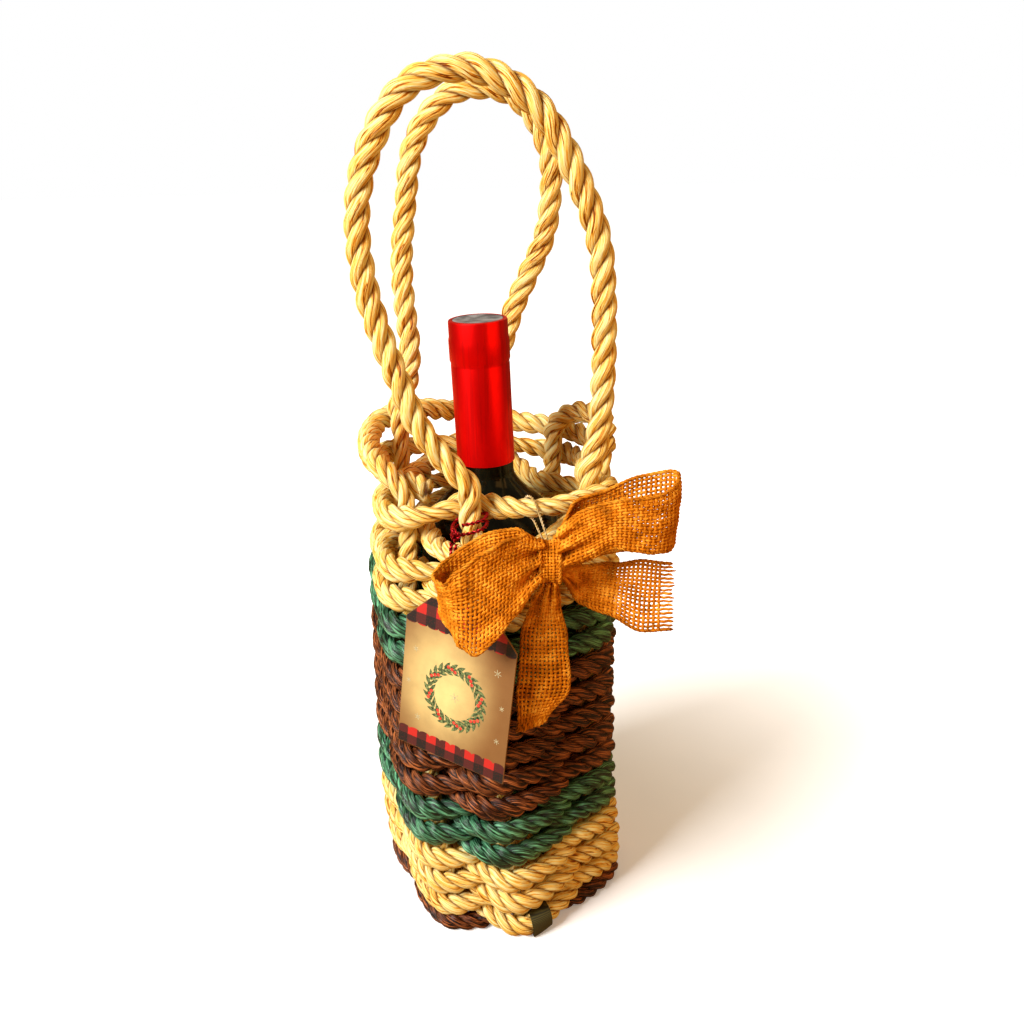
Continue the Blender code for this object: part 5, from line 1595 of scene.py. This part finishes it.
class BuildStage(bpy.types.Operator):
    """Camera at the photograph's place, three soft lamps, a pale floor and a white surround"""

    bl_idname = "bottle_wrap.stage"
    bl_label = "Stage"

    def execute(self, context):
        settings = context.scene.wrap_stage
        context.scene.view_settings.view_transform = "Standard"
        data = bpy.data.cameras.new("camera")
        data.lens = settings.lens
        data.sensor_width = SENSOR_WIDTH
        data.clip_start = CAMERA_NEAR
        camera = bpy.data.objects.new("camera", data)
        context.scene.collection.objects.link(camera)
        pitch, yaw, roll = (math.radians(angle) for angle in (CAMERA_PITCH, CAMERA_YAW, CAMERA_ROLL))
        aimed = Matrix.Rotation(yaw, 4, "Z") @ Matrix.Rotation(math.pi / 2 + pitch, 4, "X")
        aimed = aimed @ Matrix.Rotation(roll, 4, "Z")
        camera.matrix_world = Matrix.Translation(CAMERA_PLACE) @ aimed
        context.scene.camera = camera
        for name, setting, share, place, size, colour in LAMPS:
            light = bpy.data.lights.new(name, "AREA")
            light.color = colour
            light.energy = getattr(settings, setting) * share
            light.size = size
            lamp = bpy.data.objects.new(name, light)
            context.scene.collection.objects.link(lamp)
            lamp.location = place
            lamp.rotation_euler = (LAMP_AIM - Vector(place)).to_track_quat("-Z", "Y").to_euler()
        self.surround(context)
        deselect()
        bpy.ops.mesh.primitive_plane_add(size=FLOOR_SIZE, location=(0, 0, -FLOOR_DROP))
        placed(context.object, "floor", floor_look())
        return {"FINISHED"}

    def surround(self, context):
        """White to the camera, and a dim warm light to everything else."""
        world = bpy.data.worlds.new("surround")
        context.scene.world = world
        world.use_nodes = True
        tree = world.node_tree
        tree.nodes.clear()
        light = add_node(tree, "ShaderNodeBackground", {
            "Color": SURROUND_COLOUR, "Strength": SURROUND_LIGHT,
        })
        white = add_node(tree, "ShaderNodeBackground", {"Color": (1, 1, 1, 1), "Strength": 1.0})
        mixed = add_node(tree, "ShaderNodeMixShader", {0: seen_directly(tree), 1: light, 2: white})
        add_node(tree, "ShaderNodeOutputWorld", {"Surface": mixed})


class BuildWeave(bpy.types.Operator):
    """The coil and the woven bands of dyed and natural rope"""

    bl_idname = "bottle_wrap.weave"
    bl_label = "Woven wall"

    def execute(self, context):
        settings = context.scene.wrap_rope
        looks = {
            "natural": natural_rope_look(settings), "green": green_rope_look(settings),
            "brown": brown_rope_look(settings),
        }
        lay = settings.lay * WOVEN_LAY_SHARE
        coil = base_coil_stations() + weaving_stations(0, STAKES, False, True)
        made = laid_rope("base_coil_rope", coil, looks["brown"], lay)
        dress(made, "wrap", "brown_rope", "base_coil")
        for node, first, last, dye, seed in WEAVE_BANDS:
            stations = weaving_stations(first * STAKES, last * STAKES, True, last <= RIM_ROW)
            made = laid_rope(node + "_rope", stations, looks[dye], lay, seed)
            dress(made, "wrap", dye + "_rope", node)
        return {"FINISHED"}


class BuildUprights(bpy.types.Operator):
    """The ropes that stand in the weave, two of them rising into the handles"""

    bl_idname = "bottle_wrap.uprights"
    bl_label = "Upright ropes and handles"

    def execute(self, context):
        settings = context.scene.wrap_rope
        look = bpy.data.materials["natural_laid_rope"]
        lay = settings.lay * WOVEN_LAY_SHARE
        for name, stations, seed, node in (
            ("left_back_rope", left_rope_stations(), 0.7, "stake_left_back_rope"),
            ("right_loop_rope", right_loop_stations(), 1.9, "stake_right_loop"),
        ):
            dress(laid_rope(name, stations, look, lay, seed), "wrap", "natural_rope", node)
        for side, numbers, shares, hinge, rise in (
            ("front", (1, 2), FRONT_HANDLE_SHARES, FRONT_HINGE_HEIGHT, FRONT_HANDLE_RISE),
            ("back", (6, 5), BACK_HANDLE_SHARES, BACK_HINGE_HEIGHT, BACK_HANDLE_RISE),
        ):
            stations = handle_stations(numbers, shares, hinge, rise)
            made = laid_rope(side + "_handle_rope", stations, look, settings.lay, seed=2.5)
            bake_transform(made)
            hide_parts("handle_" + side, f"stake_{side}_left", f"stake_{side}_right")
        return {"FINISHED"}


class BuildBow(bpy.types.Operator):
    """The burlap bow: loops, tails and the wrap that gathers them, tied to the rim with twine"""

    bl_idname = "bottle_wrap.bow"
    bl_label = "Burlap bow"

    def execute(self, context):
        settings = context.scene.wrap_bow
        look = burlap_look(settings)
        pitch = settings.thread_pitch
        width = settings.thread_width
        loop = ((True, True), False, "gathered")
        tail = ((True, False), True, "hung")
        for number, (node, shares, forward, (gathered, frayed, held)) in enumerate((
            ("bow_loop_left", LEFT_LOOP_SHARES, LEFT_LOOP_FORWARD, loop),
            ("bow_loop_right", RIGHT_LOOP_SHARES, 0.0, loop),
            ("bow_tail_right", RIGHT_TAIL_SHARES, 0.0, tail),
            ("bow_tail_centre", CENTRE_TAIL_SHARES, 0.0, tail),
        )):
            stations = ribbon_stations(shares, forward)
            made, edge, length = woven_ribbon(
                node + "_ribbon", stations, look, pitch, width, gathered, frayed, seed=number * 2.7,
            )
            dress(made, "wrap", "burlap", node)
            dress(edge, "wrap", "burlap")
        self.knot(look, pitch * KNOT_PITCH_SHARE, width * KNOT_THREAD_SHARE)
        twine = twisted_cord("bow_twine_cord", twine_route(), TWINE_DIAMETER, twine_look(settings), TWINE_LAY)
        dress(twine, "wrap", "twine", "bow_twine")
        return {"FINISHED"}

    def knot(self, look, pitch, width):
        """A narrow ribbon wound once round the middle of the bow."""
        middle = Vector((BOW_X, BOW_Y, BOW_Z))
        stations = []
        for i in range(KNOT_STEPS + 1):
            angle = 2 * math.pi * i / KNOT_STEPS
            out = Vector((0, -math.cos(angle), math.sin(angle)))
            place = middle + Vector((0, out.y * KNOT_DEPTH / 2, out.z * KNOT_HEIGHT / 2))
            stations.append((place, Vector((1, 0, 0)), out, KNOT_WIDTH * KNOT_HALF_SHARE, 0.0))
        made, edge, length = woven_ribbon(
            "bow_knot_wrap", stations, look, pitch, width, gathered=(False, False), frayed=False, seed=11.0,
        )
        dress(made, "wrap", "burlap", "bow_knot")
        dress(edge, "wrap", "burlap")


class BuildTag(bpy.types.Operator):
    """The card tag with its printed borders and wreath, and the red cord that it hangs on"""

    bl_idname = "bottle_wrap.tag"
    bl_label = "Tag and cord"

    def execute(self, context):
        settings = context.scene.wrap_tag
        give_look(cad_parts["hang_tag"], card_look(settings))
        self.cord(settings)
        self.borders(settings)
        self.wreath(settings)
        return {"FINISHED"}

    def cord(self, settings):
        """The doubled strand that the tag hangs on, its two turns round the rope, and its knot."""
        look = cord_look(settings)
        strand = smooth_route(strand_points(), STRAND_ROUTE_STEPS)
        made = twisted_cord("tag_strand_cord", strand, CORD_DIAMETER, look, CORD_LAY)
        dress(made, "tag", "red_cord", "tag_cord_strand")
        ring = smooth_route(ring_points(), RING_STEPS)
        made = twisted_cord("tag_ring_cord", ring, CORD_DIAMETER, look, CORD_LAY)
        dress(made, "wrap", "red_cord", "tag_cord_loop")
        made = twisted_cord("tag_knot_cord", knot_curl(), CURL_DIAMETER, look, CORD_LAY)
        dress(made, "wrap", "red_cord", "tag_cord_knot")

    def borders(self, settings):
        """Chequered bands along the card's upper and lower edges, scalloped toward its middle."""
        look = check_look(settings)
        half = TAG_WIDTH / 2 - PRINT_MARGIN
        top = TAG_HEIGHT / 2 - PRINT_MARGIN
        shoulder = top - TAG_CHAMFER
        low = shoulder - TOP_BAND_DROP
        upper = [(-half, low), *scallops(-half, half, low)]
        upper += [(half, shoulder), (half - TAG_CHAMFER, top), (-half + TAG_CHAMFER, top), (-half, shoulder)]
        printed_plates("tag_border_top", [upper], look)
        lower = scallops(half, -half, -top + BOTTOM_BAND_HEIGHT) + [(-half, -top), (half, -top)]
        printed_plates("tag_border_bottom", [lower], look)

    def wreath(self, settings):
        """A wreath of leaves and berries, and small stars of frost round it."""
        leaves = []
        for ring, (count, out, tilt, size) in enumerate(WREATH_RINGS):
            for i in range(count):
                turn = 360 * (i + ring * WREATH_RING_SHIFT) / count
                lean = tilt + LEAF_SWAY * uneven(i * 3.1, ring, 1)
                leaves.append(set_round(leaf_outline(LEAF_LENGTH * size), WREATH_RADIUS + out, turn, lean))
        printed_plates("tag_wreath_leaves", leaves, ink_look("green_ink", settings.print_green, "7C8A52"))
        berries = []
        for i in range(BERRY_GROUPS):
            for k in (-1, 0, 1):
                turn = 360 / BERRY_GROUPS * i + BERRY_TURN * k + BERRY_FIRST_TURN
                berries.append(set_round(round_outline(BERRY_RADIUS), WREATH_RADIUS + k * BERRY_STEP, turn))
        red = ink_look("red_ink", settings.print_red, "F0593F")
        printed_plates("tag_wreath_berries", berries, red, PRINT_RELIEF * 2)
        frost = []
        for x, z, size in FROST_PLACES:
            for arm in range(FROST_ARMS):
                lean = 180 / FROST_ARMS * arm + FROST_TURN
                frost.append(set_round(bar_outline(size, FROST_BAR), 0, 0, lean, (x, z)))
        printed_plates("tag_frost_stars", frost, ink_look("grey_ink", "A9A07C", "C9BE95"))


class BuildBottle(bpy.types.Operator):
    """The wine bottle: dark glass, cork, foil capsule and its disc"""

    bl_idname = "bottle_wrap.bottle"
    bl_label = "Bottle"

    def execute(self, context):
        settings = context.scene.wrap_bottle
        drop = BOTTLE_RADIUS - NECK_RADIUS
        rise = BOTTLE_HEIGHT - NECK_LENGTH - SHOULDER_HEIGHT
        glass = [(PUNT_RADIUS * out, PUNT_HEIGHT * up) for out, up in PUNT_SHARES]
        glass += [(BOTTLE_RADIUS - HEEL_RADIUS * out, HEEL_RADIUS * up) for out, up in HEEL_SHARES]
        glass.append((BOTTLE_RADIUS, SHOULDER_HEIGHT))
        for i in range(1, SHOULDER_STEPS + 1):
            share = i / SHOULDER_STEPS
            glass.append((BOTTLE_RADIUS - drop * smooth_step(share), SHOULDER_HEIGHT + rise * share))
        glass.append((NECK_RADIUS, BOTTLE_HEIGHT - CAPSULE_DISC_THICKNESS - CLEARANCE))
        foot = BOTTLE_HEIGHT - CAPSULE_LENGTH
        low = BOTTLE_HEIGHT - CAPSULE_DISC_THICKNESS
        rim = CAPSULE_RADIUS - FOIL_EDGE
        foil = [(NECK_RADIUS + CLEARANCE, foot), (rim, foot), (CAPSULE_RADIUS, foot + FOIL_EDGE)]
        foil += [
            (CAPSULE_RADIUS + out, BOTTLE_HEIGHT - NECK_RADIUS * down) for out, down in CAPSULE_BEAD_SHARES
        ]
        foil += [
            (CAPSULE_RADIUS, BOTTLE_HEIGHT - FOIL_EDGE * 4), (rim, BOTTLE_HEIGHT - FOIL_EDGE),
            (CAPSULE_RADIUS - FOIL_EDGE * 4, BOTTLE_HEIGHT), (CAPSULE_DISC_RADIUS + CLEARANCE, BOTTLE_HEIGHT),
            (CAPSULE_DISC_RADIUS + CLEARANCE, low),
        ]
        disc = [(CAPSULE_DISC_RADIUS * DISC_START_SHARE, low), (CAPSULE_DISC_RADIUS, low)]
        disc += [(CAPSULE_DISC_RADIUS * out, BOTTLE_HEIGHT - FOIL_EDGE * down) for out, down in DISC_SHARES]
        for name, profile, look, open_ends, slot, node in (
            ("bottle_shell", glass, glass_look(settings), False, "bottle_glass", "bottle_glass"),
            ("capsule_sleeve", foil, foil_look(settings), True, "foil", "capsule_foil"),
            ("capsule_top_disc", disc, disc_look(), False, "foil_disc", "capsule_disc"),
        ):
            dress(turned_piece(name, profile, look, open_ends), "bottle", slot, node)
        give_look(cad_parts["bottle_cork"], cork_look())
        give_look(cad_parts["wine_fill"], wine_look())
        return {"FINISHED"}


class BuildBand(bpy.types.Operator):
    """The olive tape band round the lowest natural rope"""

    bl_idname = "bottle_wrap.band"
    bl_label = "Rope band"

    def execute(self, context):
        line = resample(weaving_stations(STAKES, STAKES + 3, True, True), BAND_LENGTH / BAND_STEPS)
        begin = passing(STAKES + 1, WRAP_LENGTH / 2)[0]
        nearest = min(range(len(line)), key=lambda i: (line[i][0] - begin).length)
        held = line[nearest:nearest + BAND_STEPS + 1]
        points = []
        for extra in (BAND_CLEARANCE, BAND_CLEARANCE + BAND_THICKNESS):
            for centre, side, up, half_width, half_height in held:
                for j in range(BAND_SIDES):
                    angle = 2 * math.pi * j / BAND_SIDES
                    x, y = (
                        math.copysign(abs(share) ** BAND_SQUARENESS, share)
                        for share in (math.cos(angle), math.sin(angle))
                    )
                    point = centre + side * ((half_width + extra) * x) + up * ((half_height + extra) * y)
                    point.z = max(point.z, (BAND_CLEARANCE + BAND_THICKNESS - extra) / 2)
                    points.append(point)
        # Each layer's rings are joined along the rope, and the two layers at both ends.
        steps = len(held)
        joins = [(step + 1, step) for step in range(steps - 1)]
        joins += [(steps + step, steps + step + 1) for step in range(steps - 1)]
        joins += [(0, steps), (2 * steps - 1, steps - 1)]
        faces = []
        for low, high in joins:
            for j in range(BAND_SIDES):
                k = (j + 1) % BAND_SIDES
                near, far = low * BAND_SIDES, high * BAND_SIDES
                faces.append((near + j, near + k, far + k, far + j))
        made = new_mesh("rope_band_tape", points, faces)
        turn_outwards(made)
        bpy.ops.object.shade_smooth_by_angle(angle=math.radians(BAND_SMOOTH_ANGLE))
        give_look(made, tape_look())
        dress(made, "wrap", "band_cloth", "rope_band")
        return {"FINISHED"}


# Each setting group's name on the scene, its class and the operators that read it
GROUPS = (
    ("wrap_stage", StageSettings, (BuildStage,)),
    ("wrap_rope", RopeSettings, (BuildWeave, BuildUprights, BuildBand)),
    ("wrap_bow", BowSettings, (BuildBow,)),
    ("wrap_tag", TagSettings, (BuildTag,)),
    ("wrap_bottle", BottleSettings, (BuildBottle,)),
)


class WrapPanel(bpy.types.Panel):
    """Lists the pieces and their sizes and colours."""

    bl_idname = "VIEW3D_PT_bottle_wrap"
    bl_label = "Bottle Wrap"
    bl_space_type = "VIEW_3D"
    bl_region_type = "UI"
    bl_category = "Bottle Wrap"

    def draw(self, context):
        for group, kind, operators in GROUPS:
            column = self.layout.box().column()
            for name in kind.__annotations__:
                column.prop(getattr(context.scene, group), name)
            for operator in operators:
                column.operator(operator.bl_idname)


def register():
    for group, kind, operators in GROUPS:
        for item in (kind, *operators):
            bpy.utils.register_class(item)
        setattr(bpy.types.Scene, group, bpy.props.PointerProperty(type=kind))
    bpy.utils.register_class(WrapPanel)


def unregister():
    bpy.utils.unregister_class(WrapPanel)
    for group, kind, operators in GROUPS:
        delattr(bpy.types.Scene, group)
        for item in (kind, *operators):
            bpy.utils.unregister_class(item)


def main():
    register()
    bpy.ops.bottle_wrap.stage()
    bpy.ops.bottle_wrap.weave()
    bpy.ops.bottle_wrap.uprights()
    bpy.ops.bottle_wrap.bow()
    bpy.ops.bottle_wrap.tag()
    bpy.ops.bottle_wrap.bottle()
    bpy.ops.bottle_wrap.band()


if __name__ == "__main__":
    main()
